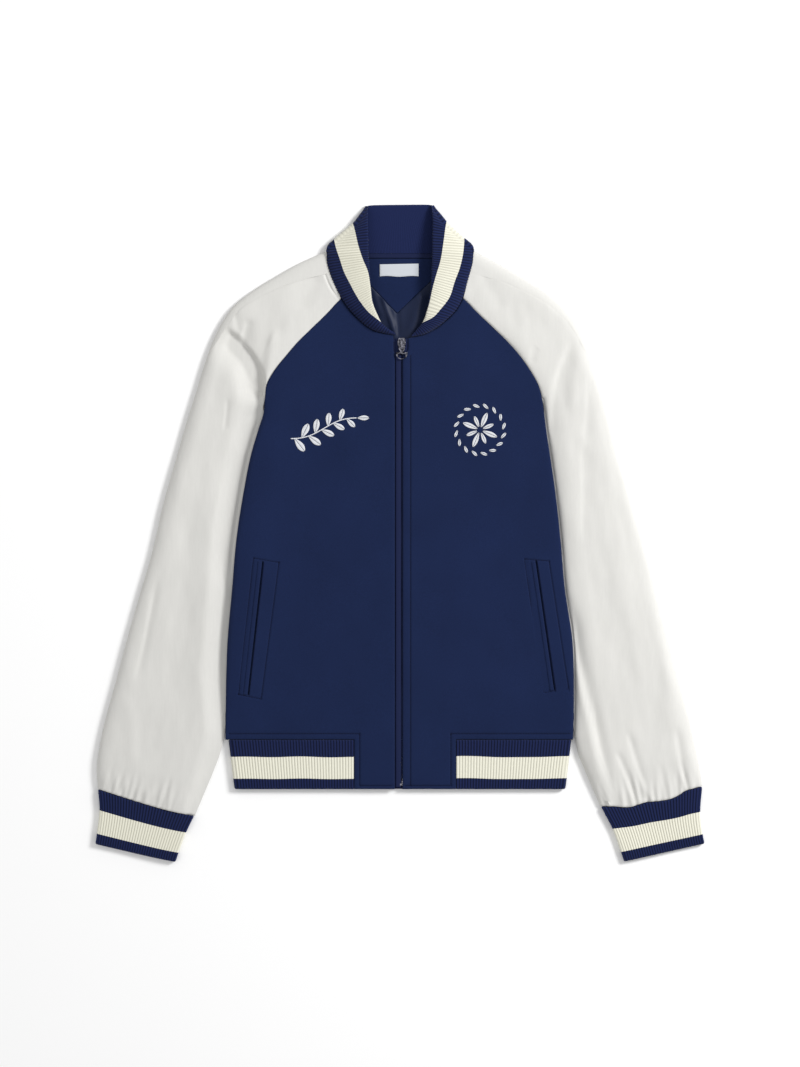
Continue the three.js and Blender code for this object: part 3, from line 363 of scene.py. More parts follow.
# ---- meshes ----------------------------------------------------------------
def mesh_object(name, verts, quads, material, uv=None, sharp=50):
    """A smooth object of four-sided faces; edges above the sharp angle stay crisp."""
    mesh = bpy.data.meshes.new(name)
    mesh.vertices.add(len(verts))
    mesh.vertices.foreach_set("co", (np.asarray(verts, np.float32) * MM).ravel())
    mesh.loops.add(quads.size)
    mesh.loops.foreach_set("vertex_index", quads.ravel().astype(np.int32))
    mesh.polygons.add(len(quads))
    mesh.polygons.foreach_set("loop_start", np.arange(0, quads.size, 4, dtype=np.int32))
    if uv is not None:
        layer = mesh.uv_layers.new(name="cloth")
        layer.uv.foreach_set("vector", uv[quads.ravel()].astype(np.float32).ravel())
    mesh.update(calc_edges=True)
    mesh.validate()
    mesh.shade_smooth()
    mesh.set_sharp_from_angle(angle=math.radians(sharp))
    mesh.materials.append(material)
    obj = bpy.data.objects.new(name, mesh)
    bpy.context.scene.collection.objects.link(obj)
    return obj


def normals(grid, ring=False):
    """Unit normals of a grid of points (rows, columns, 3)."""
    down = np.gradient(grid, axis=0)
    across = (np.roll(grid, -1, 1) - np.roll(grid, 1, 1)) / 2 if ring else np.gradient(grid, axis=1)
    n = np.cross(across, down)
    return n / np.maximum(np.linalg.norm(n, axis=2, keepdims=True), 1e-9)


def slab(name, top, low, material, uv, uv_low=None, keep=None, ring=False, sharp=50):
    """Closed cloth between two grids of points; keep says which cells it has."""
    rows, cols = top.shape[:2]
    cells = cols if ring else cols - 1
    keep = np.ones((rows - 1, cells), bool) if keep is None else keep
    ids = np.arange(rows * cols).reshape(rows, cols)
    if ring:
        ids = np.concatenate([ids, ids[:, :1]], axis=1)
    a, b, c, d = ids[:-1, :-1], ids[:-1, 1:], ids[1:, 1:], ids[1:, :-1]
    offset = rows * cols
    quads = [np.stack([v[keep] for v in (a, b, c, d)], axis=1)]
    quads.append(quads[0][:, ::-1] + offset)
    pad = np.zeros((rows + 1, cells + 2), bool)
    pad[1:-1, 1:-1] = keep
    if ring:
        pad[1:-1, 0], pad[1:-1, -1] = keep[:, -1], keep[:, 0]
    for dj, di, p, q in ((-1, 0, a, b), (0, 1, b, c), (1, 0, c, d), (0, -1, d, a)):
        edge = keep & ~pad[1 + dj:rows + dj, 1 + di:cells + 1 + di]
        quads.append(np.stack([q[edge], p[edge], p[edge] + offset, q[edge] + offset], axis=1))
    quads = np.concatenate(quads)
    if ((top - low) * normals(top, ring)).sum(axis=2).mean() > 0:
        quads = quads[:, ::-1]
    verts = np.concatenate([top.reshape(-1, 3), low.reshape(-1, 3)])
    used = np.zeros(len(verts), bool)
    used[quads.ravel()] = True
    number = np.cumsum(used) - 1
    uv = np.concatenate([uv.reshape(-1, 2), (uv if uv_low is None else uv_low).reshape(-1, 2)])
    return mesh_object(name, verts[used], number[quads], material, uv[used], sharp)


def steps_to(length, pitch, both=True):
    """Distances along a length: close together at its ends (or its start), then even."""
    start = [f for f in (0, 0.35, 0.9, 1.8) if f < length / 3]
    end = [length - f for f in reversed(start)] if both else [length]
    a, b = start[-1], end[0]
    middle = np.linspace(a, b, max(2, int(round((b - a) / pitch)) + 1))[1:-1]
    return np.r_[start, middle, end]


def piece(obj, slot, *nodes):
    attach(obj, "jacket")
    if nodes:
        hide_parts(*nodes)


def cloth(name, node, slot, material, top, low, flat, area=None, held="laid", rests_on=(), **shape):
    """Closed cloth that takes a CAD node's place."""
    shape.setdefault("uv", top[..., :2] / 10)
    obj = slab(name, top, low, MAT[material], **shape)
    piece(obj, slot, node)
    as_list(rests_on)


# ---- materials -------------------------------------------------------------
class Nodes:
    """A node material with its Principled shader and short ways to add nodes."""

    def __init__(self, name, colour, roughness, **sockets):
        self.material = bpy.data.materials.new(name)
        self.material.use_nodes = True
        self.tree = self.material.node_tree
        self.shader = self.tree.nodes["Principled BSDF"]
        self.material.diffuse_color = (*colour, 1)
        self.shader.inputs["Base Color"].default_value = (*colour, 1)
        self.shader.inputs["Roughness"].default_value = roughness
        for socket, value in sockets.items():
            self.shader.inputs[socket.replace("_", " ")].default_value = value
        self.place = self.add("ShaderNodeTexCoord").outputs["Object"]

    def add(self, kind, **settings):
        node = self.tree.nodes.new(kind)
        for key, value in settings.items():
            setattr(node, key, value)
        return node

    def link(self, out, socket):
        self.tree.links.new(out, socket)

    def math(self, operation, *values):
        node = self.add("ShaderNodeMath", operation=operation)
        for k, value in enumerate(values):
            if isinstance(value, (int, float)):
                node.inputs[k].default_value = value
            else:
                self.link(value, node.inputs[k])
        return node.outputs[0]

    def scaled(self, scale):
        """Object coordinates, stretched where the scale is below 1."""
        node = self.add("ShaderNodeMapping")
        node.inputs["Scale"].default_value = scale
        self.link(self.place, node.inputs["Vector"])
        return node.outputs[0]

    def noise(self, scale, detail=3, rough=0.5, vector=None):
        node = self.add("ShaderNodeTexNoise")
        node.inputs["Scale"].default_value = scale
        node.inputs["Detail"].default_value = detail
        node.inputs["Roughness"].default_value = rough
        self.link(vector or self.place, node.inputs["Vector"])
        return node.outputs["Fac"]

    def span(self, value, low, high, new_low=0, new_high=1):
        """A value moved from the range low to high into the new range."""
        node = self.add("ShaderNodeMapRange")
        for k, v in enumerate((low, high, new_low, new_high)):
            node.inputs[k + 1].default_value = v
        self.link(value, node.inputs[0])
        return node.outputs[0]

    def blend(self, factor, a, b):
        node = self.add("ShaderNodeMix", data_type="RGBA")
        self.link(factor, node.inputs[0])
        for socket, value in ((node.inputs[6], a), (node.inputs[7], b)):
            if isinstance(value, tuple):
                socket.default_value = (*value, 1)
            else:
                self.link(value, socket)
        return node.outputs[2]

    def colour(self, out):
        self.link(out, self.shader.inputs["Base Color"])

    def bump(self, height, strength, depth, after=None):
        node = self.add("ShaderNodeBump")
        node.inputs["Strength"].default_value = strength
        node.inputs["Distance"].default_value = depth * MM
        self.link(height, node.inputs["Height"])
        if after is not None:
            self.link(after, node.inputs["Normal"])
        self.link(node.outputs[0], self.shader.inputs["Normal"])
        return node.outputs[0]

    def weave(self, pitch, turn=0.0):
        """Crossing threads at the given pitch in mm."""
        node = self.add("ShaderNodeMapping")
        node.inputs["Rotation"].default_value = (0, 0, turn)
        self.link(self.place, node.inputs["Vector"])
        waves = []
        for direction in ("X", "Y"):
            wave = self.add("ShaderNodeTexWave", wave_type="BANDS", bands_direction=direction)
            wave.inputs["Scale"].default_value = 1 / (pitch * MM) / math.tau * math.pi
            wave.inputs["Distortion"].default_value = 0.6
            wave.inputs["Detail Scale"].default_value = 1.5
            self.link(node.outputs[0], wave.inputs["Vector"])
            waves.append(wave.outputs["Fac"])
        return self.math("MULTIPLY", *waves)


def linear(r, g, b):
    """Linear colour of an sRGB colour, 0 to 255."""
    return tuple(c / 255 / 12.92 if c <= 10 else ((c / 255 + 0.055) / 1.055) ** 2.4 for c in (r, g, b))


def shade(colour, factor):
    return tuple(min(1, c * factor) for c in colour)


WOOL, RIB_NAVY, CREAM = linear(21, 33, 66), linear(22, 31, 67), linear(227, 225, 209)
SLEEVE_WHITE, SATIN, LABEL = linear(210, 209, 205), linear(17, 29, 58), linear(195, 199, 205)
TAPE, THREAD_NAVY = linear(24, 32, 64), linear(11, 16, 42)
THREAD_WHITE, METAL = linear(215, 217, 221), linear(100, 100, 108)


def wool(name):
    n = Nodes(name, WOOL, 0.92, Sheen_Weight=0.1, Sheen_Roughness=0.5,
              Sheen_Tint=(0.55, 0.62, 0.9, 1), Specular_IOR_Level=0.1)
    nap, cloud = n.noise(900, 4, 0.6), n.noise(14, 2, 0.5)
    tone = n.math("ADD", n.span(nap, 0.3, 0.7, 0.82, 1.18), n.span(cloud, 0.3, 0.7, -0.06, 0.06))
    n.colour(n.blend(n.span(tone, 0.7, 1.3), shade(WOOL, 0.75), shade(WOOL, 1.3)))
    fibres = n.noise(1500, 2, 0.6, n.scaled((1, 0.5, 1)))
    n.bump(n.math("ADD", n.math("MULTIPLY", n.weave(1.0, 0.8), 0.5), fibres), 0.5, 0.25)
    return n.material


def sleeve_cloth():
    n = Nodes("sleeve_cloth", SLEEVE_WHITE, 0.62, Sheen_Weight=0.08, Specular_IOR_Level=0.3)
    slub = n.noise(420, 3, 0.6, n.scaled((1, 0.12, 1)))
    n.colour(n.blend(n.span(slub, 0.3, 0.7), shade(SLEEVE_WHITE, 0.965), SLEEVE_WHITE))
    soft = n.bump(n.noise(60, 3, 0.5), 0.25, 0.5)
    n.bump(n.weave(0.6, 0.3), 0.3, 0.12, soft)
    return n.material


def rib(name, stripe, light=1.0):
    """Knitted rib. The UV map runs in centimetres: u across the ribs, v from
    the seam, and v is 0 on a side that shows no ribs. stripe gives where the
    cream band starts and ends in mm, and light scales the cream's brightness:
    below 1 it is painted shade."""
    n = Nodes(name, RIB_NAVY, 0.9, Sheen_Weight=0.15, Sheen_Roughness=0.5,
              Sheen_Tint=(0.6, 0.65, 0.9, 1), Specular_IOR_Level=0.1)
    split = n.add("ShaderNodeSeparateXYZ")
    n.link(n.add("ShaderNodeUVMap", uv_map="cloth").outputs[0], split.inputs[0])
    u, v = split.outputs[0], split.outputs[1]
    wale = n.math("PINGPONG", n.math("MULTIPLY", u, 10 / RIB_PITCH), 0.5)   # 0 in a groove
    yarn = n.noise(1100, 3, 0.6)
    plain_side = n.math("LESS_THAN", v, 0.01)
    # Painted highlight on the rib crests and painted shade in their grooves; the side that shows no ribs
    # stays near the light end. The yarn noise adds tone at random.
    painted_rib_light = n.math("MAXIMUM", n.span(wale, 0.04, 0.4), n.math("MULTIPLY", plain_side, 0.75))
    painted_rib_light = n.math("ADD", painted_rib_light, n.span(yarn, 0.3, 0.7, -0.15, 0.15))
    navy = n.blend(painted_rib_light, shade(RIB_NAVY, 0.45), shade(RIB_NAVY, 1.25))
    cream = n.blend(painted_rib_light, shade(CREAM, 0.84 * light), shade(CREAM, light))
    wobble = n.math("MULTIPLY", n.math("SINE", n.math("MULTIPLY", u, 10 * math.tau / (RIB_PITCH / 2))), 0.012)
    row = n.math("ADD", v, wobble)
    start, end = stripe[0] / 10, stripe[1] / 10
    inside = n.math("MULTIPLY", n.math("GREATER_THAN", row, start), n.math("LESS_THAN", row, end))
    n.colour(n.blend(inside, navy, cream))
    turn = n.math("ADD", n.math("MULTIPLY", v, 10 * math.tau / LOOP_PITCH), n.math("MULTIPLY", wale, 7))
    n.bump(n.math("ADD", n.math("MULTIPLY", n.math("SINE", turn), 0.5), yarn), 0.45, 0.25)
    return n.material


def satin():
    n = Nodes("lining_satin", SATIN, 0.5, Specular_IOR_Level=0.22)
    n.colour(n.blend(n.noise(500, 2, 0.5, n.scaled((1, 0.1, 1))), shade(SATIN, 0.85), SATIN))
    n.bump(n.weave(0.5), 0.15, 0.1)
    return n.material


def plain(name, colour, roughness, scale=900, spread=0.1):
    n = Nodes(name, colour, roughness, Specular_IOR_Level=0.12)
    grain = n.noise(scale, 3, 0.55)
    n.colour(n.blend(grain, shade(colour, 1 - spread), shade(colour, 1 + spread)))
    n.bump(grain, 0.4, 0.15)
    return n.material


def metal():
    n = Nodes("zip_metal", METAL, 0.32, Metallic=1.0)
    # Specks of painted glints: the base colour jumps between dark and bright with this noise, in place of
    # highlights. The same noise also varies the roughness.
    painted_glints = n.noise(420, 3, 0.6)
    n.colour(n.blend(n.span(painted_glints, 0.42, 0.62), shade(METAL, 0.12), shade(METAL, 3.2)))
    n.link(n.span(painted_glints, 0.3, 0.7, 0.2, 0.36), n.shader.inputs["Roughness"])
    n.bump(n.noise(1800, 2, 0.5), 0.2, 0.04)
    return n.material


MAT = {
    "wool": wool("wool_navy"), "facing": wool("facing_wool"), "sleeve": sleeve_cloth(), "satin": satin(),
    "hem": rib("rib_hem", HEM_STRIPE), "cuff": rib("rib_cuff", CUFF_STRIPE),
    # the collar's cream is darkened a little, as painted shade
    "collar": rib("rib_collar", COLLAR_STRIPE, 0.94),
    "label": plain("label_white", LABEL, 0.6, 1400, 0.03), "tape": plain("tape_navy", TAPE, 0.8),
    "thread": plain("thread_navy", THREAD_NAVY, 0.5, 2500, 0.2),
    "white": plain("thread_white", THREAD_WHITE, 0.45, 2500, 0.05), "metal": metal()}


# ---- fronts ----------------------------------------------------------------
# Rows of stitches on each front: over the hem rib, beside it, along the hem,
# and on the wearer's left beside the zip.
STITCH_LINES = {
    "right": [[(-218, -255), (-52, -255)], [(-52, -255), (-52, -321)], [(-52, -321), (-9.5, -321)]],
    "left": [[(216, -255), (64, -255)], [(64, -255), (64, -321)], [(64, -321), (5, -321)],
             [(12.6, -321), (12.6, 226)]]}
ZIP_STITCH = 10                     # the stitches beside the zip, from its edge
FINE = np.array([-1.8, -1.1, -0.5, 0, 0.5, 1.1, 1.8])    # grid lines round a row of stitches
# Columns beside a pocket mouth, from the slit: fine at the slit and the frame.
POCKET_COLUMNS = np.r_[
    -14, -13 + np.arange(0, 3.0, 0.6), -9, -7.2, -6.4, -5.8, -5.2, -4, -3, -2.3, -1.8, -1.4, -1, -0.5, 0,
    0.5, 1, 1.4, 1.8, 2.3, 3.2, 5, 7.5, 10, 12.5, 15 + np.arange(0, 7.0, 0.7), 23.5]
FRAME_ROWS = np.r_[np.arange(-213.5, -201, 0.9), np.arange(-40.5, -29, 0.9)]   # ends of the pocket frames
PANEL_WIDTH = 146                   # side seam to placket, for the columns' shares


def front_height(side, x, y):
    return (FRONT_Z + folded("front_" + side, x, y)
            + 0.34 * ripple(x, y, 120, 5) + 0.12 * ripple(x, y, 40, 6))


def edge_x(side, y):
    """Zip edge of a front: the two edges part round the slider."""
    return mix(EDGE_X[side], EDGE_TOP_X[side], ease((y - SLIDER_Y[0]) / (SLIDER_Y[1] - SLIDER_Y[0])))


def finer_at(places, lines):
    """Places of rows or columns, with a few close ones round each sewn line."""
    for line in lines:
        places = np.r_[places[np.abs(places - line) > 2.4], line + FINE]
    return np.sort(places)


def front_grid(side):
    """x and y of a front's points, by rows from the hem up."""
    placket, (neck_top, neck_end) = PLACKET_X[side], NECK[side][[0, -1], 1]
    (corner_x, upper_y), (_, lower_y) = STITCH_LINES[side][1]
    low_rows = finer_at(HEM_END + steps_to(HEM_SEAM - HEM_END, 3.2), [lower_y])
    mid_rows = finer_at(HEM_SEAM + steps_to(neck_end - HEM_SEAM, 3.7, both=False)[1:], [upper_y])
    mid_rows = mid_rows[np.min(np.abs(mid_rows[:, None] - FRAME_ROWS), axis=1) > 1.0]
    top_rows = neck_end + np.r_[np.arange(0.6, 8, 0.7), np.arange(8.4, 24, 1.3),
                                np.linspace(25, neck_top - neck_end, 15)]
    ys = np.r_[low_rows, np.sort(np.r_[mid_rows, FRAME_ROWS]), top_rows]
    band = abs(placket - EDGE_X[side])
    inner = finer_at(steps_to(band, 2.7), [band - ZIP_STITCH, abs(corner_x - placket)]) / band
    (x1, y1), (x2, y2) = POCKET[side]

    def columns(y, seam_x, edge):
        """Columns of one row; some stay beside the pocket mouth."""
        at = np.clip(y, -240, 10)
        slit, seam = mix(x1, x2, (at - y1) / (y2 - y1)), side_x(side, at)
        near = (slit - seam) / (placket - seam) + POCKET_COLUMNS / PANEL_WIDTH
        first = steps_to(near[0] * PANEL_WIDTH, 2.2, both=False) / PANEL_WIDTH
        shares = np.r_[first[:3], np.linspace(first[3], near[0], 26)[:-1], near,
                       np.linspace(near[-1], 1, 29)[1:]]
        return np.r_[mix(seam_x, placket, shares), mix(placket, edge, inner[1:])]
    seam_top, edge_top = side_x(side, neck_end), edge_x(side, neck_end)
    spread = (columns(neck_end, seam_top, edge_top) - seam_top) / (edge_top - seam_top)
    x = [columns(y, side_x(side, max(y, HEM_SEAM)), edge_x(side, y)) if y <= neck_end
         else mix(side_x(side, y), neck_x(side, y), spread) for y in ys]
    return np.array(x), np.repeat(ys[:, None], len(spread), axis=1)


def sewn_edge(side, x, y):
    """Distance from each point of a front to its nearest sewn edge."""
    d = np.full(x.shape, 1e9)
    for edge in (x[:, 0], x[:, -1]):
        slope = np.gradient(edge, y[:, 0])
        d = np.minimum(d, np.abs(x - edge[:, None]) / np.sqrt(1 + slope**2)[:, None])
    past = x - PLACKET_X[side]
    at_hem = np.minimum(y - HEM_END, np.abs(past))
    at_rib = np.where(past * SIDES[side] > -1e-6, y - HEM_SEAM, np.hypot(past, y - HEM_SEAM))
    return np.minimum(d, np.where(y < HEM_SEAM, at_hem, at_rib))


def pocket_dent(side, x, y):
    """Slit of the pocket mouth, and the seam lines of the frame round it."""
    d, share = distance(x, y, np.array(POCKET[side]))
    z = 3.2 * np.exp(-(np.abs(d) / 1.5) ** 4) * ease(share / 0.012) * ease((1 - share) / 0.012)
    for p, q in round_trip(POCKET_FRAME[side]):
        z = z + groove(distance(x, y, np.array([p, q]))[0], 0.9, 0.9)
    return z


def front(side):
    x, y = front_grid(side)
    from_side = np.abs(x - x[:, :1])
    puff = (front_height(side, x[:, :1], y[:, :1]) - FRONT_Z) * ease((UNDERARM_Y - y[:, :1]) / 30)
    z = front_height(side, x, y) - edge_roll(sewn_edge(side, x, y))
    z -= 0.6 * np.maximum(puff, 0) * edge_roll(from_side, 7, 1)
    for line in STITCH_LINES[side]:
        z -= groove(distance(x, y, line_points(line, 2))[0])
    z -= pocket_dent(side, x, y)
    low_z = np.minimum(FRONT_LOW + 0.5 * np.maximum(z - FRONT_Z, 0) * ease(from_side / 15), z - 0.5)
    keep = np.ones((x.shape[0] - 1, x.shape[1] - 1), bool)
    placket_column = np.argmin(np.abs(x[0] - PLACKET_X[side]))
    keep[:np.searchsorted(y[:, 0], HEM_SEAM - 1e-6), :placket_column] = False
    cloth(f"front_{side}_cloth", f"front_{side}", "wool_navy", "wool", grid(x, y, z), grid(x, y, low_z),
          flat=(0.232, 0.63), area=0.118, rests_on=["back", "lining"], keep=keep)


for side in SIDES:
    front(side)


# ---- back ------------------------------------------------------------------
def back():
    ys = np.r_[HEM_SEAM + steps_to(UNDERARM_Y - HEM_SEAM, 7),
               np.linspace(UNDERARM_Y + 4, BACK_RAGLAN[-1, 0], 28)]
    half = steps_to(200, 5, both=False) / 400
    shares = np.r_[half, 1 - half[-2::-1]]
    right, left = (np.where(ys <= UNDERARM_Y, side_x(side, ys),
                            smooth(BACK_RAGLAN[:, 0], BACK_RAGLAN[:, COLUMN[side]], ys)) for side in SIDES)
    x = mix(right[:, None], left[:, None], shares)
    y = np.repeat(ys[:, None], len(shares), axis=1)
    tuck = np.maximum(smooth(BODY[:, 0], BODY[:, 3], ys), 0)[:, None]
    lift = np.interp(ys, [-262, -230, 158, 171], [0, 1, 1, 0])[:, None] * LIFT
    d = np.minimum(x - x[:, :1], x[:, -1:] - x)
    z = lift * (1 - ease((d - tuck - 9) / 37))
    cloth("back_cloth", "back", "wool_navy", "wool", grid(x, y, z + BACK_WALL - edge_roll(d, 1.6, 0.5)),
          grid(x, y, z + edge_roll(d, 1.6, 0.7)), flat=(0.445, 0.618), area=0.235)


back()


# ---- sleeves ---------------------------------------------------------------
OUTER_RADIUS, UNDER_RADIUS = 17.0, 5.0    # how far the outer fold rounds the upper and lower face
QUARTER_TURN = 1 - np.cos(np.linspace(0, math.pi / 2, 9))
SEAM_GAP, SIDE_GAP = 0.15, 0.35     # beside the raglan seam, and beside the body below it
SLEEVE_PITCH = 3.0                  # from row to row


def sleeve_plan(side):
    """Rows of a sleeve from the cuff up, and where its lines cross each row."""
    sg, table, plan = SIDES[side], SLEEVE[side], SimpleNamespace(side=side)
    plan.knots = knots = walked(table[:, :2])
    plan.rows = rows = np.r_[0, 1.2, 2.6, 4.2, np.arange(6.2, knots[-1] - 17, SLEEVE_PITCH),
                             np.linspace(knots[-1] - 15, knots[-1], 16)]
    plan.outer = np.stack([smooth(knots, table[:, k], rows) for k in (0, 1)], axis=1)
    tuck = np.interp(table[:, 5], BODY[:, 0], BODY[:, 3])
    tuck[:4] = 0
    gap = np.where(np.arange(len(table)) >= RAGLAN_ROW, SEAM_GAP, SIDE_GAP)
    beside = side_x(side, table[:, 5]) + sg * np.where(tuck > 0, -tuck, gap)
    inner_x = np.where(table[:, 4] != 0, table[:, 4], beside)
    plan.inner = np.stack([smooth(knots, inner_x, rows), smooth(knots, table[:, 5], rows)], axis=1)
    plan.sewn = rows >= knots[RAGLAN_ROW]
    on_seam = plan.sewn & (rows <= knots[-3])
    plan.inner[on_seam, 0] = side_x(side, plan.inner[on_seam, 1]) + sg * SEAM_GAP
    plan.low = np.interp(rows, knots, table[:, 6])
    plan.length = np.linalg.norm(plan.inner - plan.outer, axis=1)
    plan.way = (plan.inner - plan.outer) / plan.length[:, None]
    to_seam = np.where(table[:, 2:3] != 0, table[:, 2:4] - table[:, :2], 0)
    plan.seam = np.interp(rows, knots, np.linalg.norm(to_seam, axis=1))
    seam_way = np.stack([np.interp(rows, knots, to_seam[:, k]) for k in (0, 1)], axis=1)
    plan.bend = seam_way - plan.way * plan.seam[:, None]      # the overarm seam, off the straight row
    plan.upper = np.clip((rows - knots[RAGLAN_ROW] + 10) / 25, 0, 1)
    plan.reach = plan.length.copy()                           # where a row passes under the body
    for k in np.flatnonzero(~plan.sewn):
        s = np.linspace(0, plan.length[k], 400)
        x, y = (plan.outer[k] + plan.way[k] * s[:, None]).T
        tucked = (y > HEM_SEAM) & (sg * (x - side_x(side, y)) <= 2.2)
        if tucked.any():
            plan.reach[k] = s[np.argmax(tucked)]
    return plan


def dome(plan, k, s):
    """Height of the upper face on row k at distance s from the outer fold, and
    how much of a fold's height counts there."""
    knots, row, flank = plan.knots, plan.rows[k], FLANK[plan.side]
    h = np.interp(row, [0, 14, 40, knots[RAGLAN_ROW], knots[-2], knots[-1]],
                  [8.6, 10.6, DOME, DOME, 10.4, 9.6])
    z = FOLD_MID + (h - FOLD_MID) * quarter(s / OUTER_RADIUS)
    width = np.interp(row, [0, knots[3], knots[6], knots[RAGLAN_ROW], knots[-1]], [16, 20, 27, 22, 14])
    w = np.clip((plan.reach[k] - s) / (width * (1.3 - 0.3 * flank)), 0, 1)
    weight = np.clip(s / 8, 0, 1) * np.clip((plan.reach[k] - s) / 5, 0, 1)
    return plan.low[k] + (z - plan.low[k]) * mix(ease(w), quarter(w), flank), weight


def sleeve_face(plan):
    """Smooth upper face of a sleeve by rows: x, y, z, weight of folds there.
    Its last six columns are the strip that goes on under the body."""
    face = []
    for k, (start, reach, length) in enumerate(zip(plan.seam, plan.reach, plan.length)):
        first = start + OUTER_RADIUS * QUARTER_TURN
        last = reach - min(26, (reach - start) * 0.3) * QUARTER_TURN[::-1]
        s = np.r_[first, np.linspace(first[-1], last[0], 46)[1:-1], last]
        z, weight = dome(plan, k, s)
        s = np.r_[s, np.linspace(reach, length if length - reach > 0.5 else reach + 0.3, 7)[1:]]
        z, weight = np.r_[z, np.full(6, plan.low[k])], np.r_[weight, np.zeros(6)]
        lean = np.clip(1 - (s - start) / 30, 0, 1)[:, None] * plan.bend[k]
        face.append(np.c_[plan.outer[k] + plan.way[k] * s[:, None] + lean, z, weight])
    return np.array(face)


def gathers(side, x, y):
    """Short soft creases where the sleeve is gathered into its cuff."""
    rng = np.random.default_rng(21 if side == "right" else 22)
    outer, inner = CUFF[side][0, 0:2], CUFF[side][0, 2:4]
    along = (inner - outer) / np.linalg.norm(inner - outer)
    up = np.array([-along[1], along[0]]) * -SIDES[side]
    total = np.zeros_like(x)
    for t in np.arange(0.07, 0.97, 0.058):
        start = outer + (inner - outer) * (t + rng.uniform(-0.012, 0.012))
        end = start + up * rng.uniform(16, 50) + along * rng.uniform(-5, 5)
        d, share = distance(x, y, np.array([start - up * 6, end]))
        width = rng.uniform(2.0, 3.4)
        crease = 0.7 * np.exp(-((np.abs(d) - 2 * width) / width) ** 2) - np.exp(-(d / width) ** 2)
        total += rng.uniform(0.8, 1.7) * crease * ease((1 - share) / 0.7)
    return total


def sleeve_front(plan):
    side, sg = plan.side, SIDES[plan.side]
    face = sleeve_face(plan)
    x, y, z, weight = np.moveaxis(face, 2, 0)
    relief = folded("sleeve_" + side, x, y) + gathers(side, x, y)
    relief += 0.36 * ripple(x, y * 0.45, 60, 11 + sg) + 0.12 * ripple(x, y * 0.5, 24, 14 + sg)
    z = z + relief * weight
    z += 0.35 * np.logaddexp(0, (3.5 - z) / 0.35) * weight       # no valley goes below 3.5
    z -= edge_roll(plan.rows[:, None], 2.0, 1.2)
    # the raglan and overarm seams roll under
    to_inner, to_outer = (np.linalg.norm(face[..., :2] - face[:, k:k + 1, :2], axis=2) for k in (-7, 0))
    rolled = edge_roll(to_inner, 1.8, 0.9)
    rolled[:, -6:] = rolled[:, -7:-6]
    z -= plan.upper[:, None] * (rolled + edge_roll(to_outer, 1.2, OVERARM_DIP))
    top = np.dstack([sagged(side, face[..., :2]), z])
    columns = top.shape[1]
    thick = np.interp(np.arange(columns), [0, 6, 60, columns - 7, columns - 1], [1.7, 2.0, 2.0, 1.5, 1.5])
    n = normals(top)
    n *= np.sign(n[..., 2:].mean())
    n[:, -7:] = (0, 0, 1)
    low = top - n * thick[None, :, None]
    low[:, -7:, 2] = np.maximum(low[:, -7:, 2], 1.9)
    low[..., 2] = np.maximum(low[..., 2], 0.3)
    cloth(f"sleeve_front_{side}_cloth", f"sleeve_front_{side}", "sleeve_cloth", "sleeve", top, low,
          flat=(0.235, 0.72), area=0.118, rests_on=["sleeve_back_" + side], sharp=60)


def sleeve_back(plan):
    """Along the surface, round the outer fold and up to the seam over the arm."""
    side, knots = plan.side, plan.knots
    edge = plan.inner.copy()
    share = (plan.rows[plan.sewn] - knots[RAGLAN_ROW]) / (knots[-1] - knots[RAGLAN_ROW])
    y = np.interp(share * (len(BACK_RAGLAN) - 1), range(len(BACK_RAGLAN)), BACK_RAGLAN[:, 0])
    x = smooth(BACK_RAGLAN[:, 0], BACK_RAGLAN[:, COLUMN[side]], y) + SIDES[side] * 0.4
    edge[plan.sewn] = np.c_[x, y]
    turn = UNDER_RADIUS * QUARTER_TURN[::-1]
    turn_z = FOLD_MID * (1 - quarter(turn / UNDER_RADIUS))
    lower = []
    for k, (outer, seam) in enumerate(zip(plan.outer, plan.seam)):
        length = np.linalg.norm(edge[k] - outer)
        way = (edge[k] - outer) / length
        flat = np.linspace(length, UNDER_RADIUS, 14)
        rise = np.linspace(0.02, 1, 9)[1:] * max(seam - 0.06, 0.02)
        lean = np.clip(rise / max(seam, 1), 0, 1)[:, None] * plan.bend[k]
        over_z = dome(plan, k, rise)[0] - edge_roll(seam - rise, 1.2, OVERARM_DIP) * plan.upper[k]
        lower.append(np.r_[np.c_[outer + way * flat[:, None], 0 * flat],
                           np.c_[outer + way * turn[1:, None], turn_z[1:]],
                           np.c_[outer + plan.way[k] * rise[:, None] + lean, over_z]])
    lower = np.array(lower)
    lower[..., :2] = sagged(side, lower[..., :2])
    n = normals(lower)
    if n[:, :12, 2].mean() > 0:
        n = -n
    thick = np.interp(np.arange(lower.shape[1]), [0, 6, 12, 30], [1.5, 1.9, 1.9, 1.6])
    cloth(f"sleeve_back_{side}_cloth", f"sleeve_back_{side}", "sleeve_cloth", "sleeve", lower,
          lower - n * thick[None, :, None], flat=(0.26, 0.74), area=0.1, sharp=60)


for side in SIDES:
    sleeve_rows = sleeve_plan(side)
    sleeve_front(sleeve_rows)
    sleeve_back(sleeve_rows)


# ---- ribbed strips ---------------------------------------------------------
HEM_TURN = 4.1                      # radius of the hem rib's folds at the sides
HEM_SIDE_X = {"right": (-217.8, -210.2), "left": (216.5, 208.9)}    # outermost x, at seam and edge
HEM_BACK_RIBS = 113


def rib_profile(u):
    """Depth below the top of a rib: its full rise in the groove between two."""
    return (1 - np.abs(np.sin(math.pi * u / RIB_PITCH)) ** 0.7) * RIB_RISE


def hem_run(seam_x, seam_z, free_x, free_z, out_x, out_z):
    """Columns of the hem: seam point, edge point and outward direction of each."""
    return np.stack(np.broadcast_arrays(seam_x, HEM_SEAM - 0.4, seam_z, free_x, HEM_END, free_z,
                                        out_x, 0.0, out_z), axis=1)


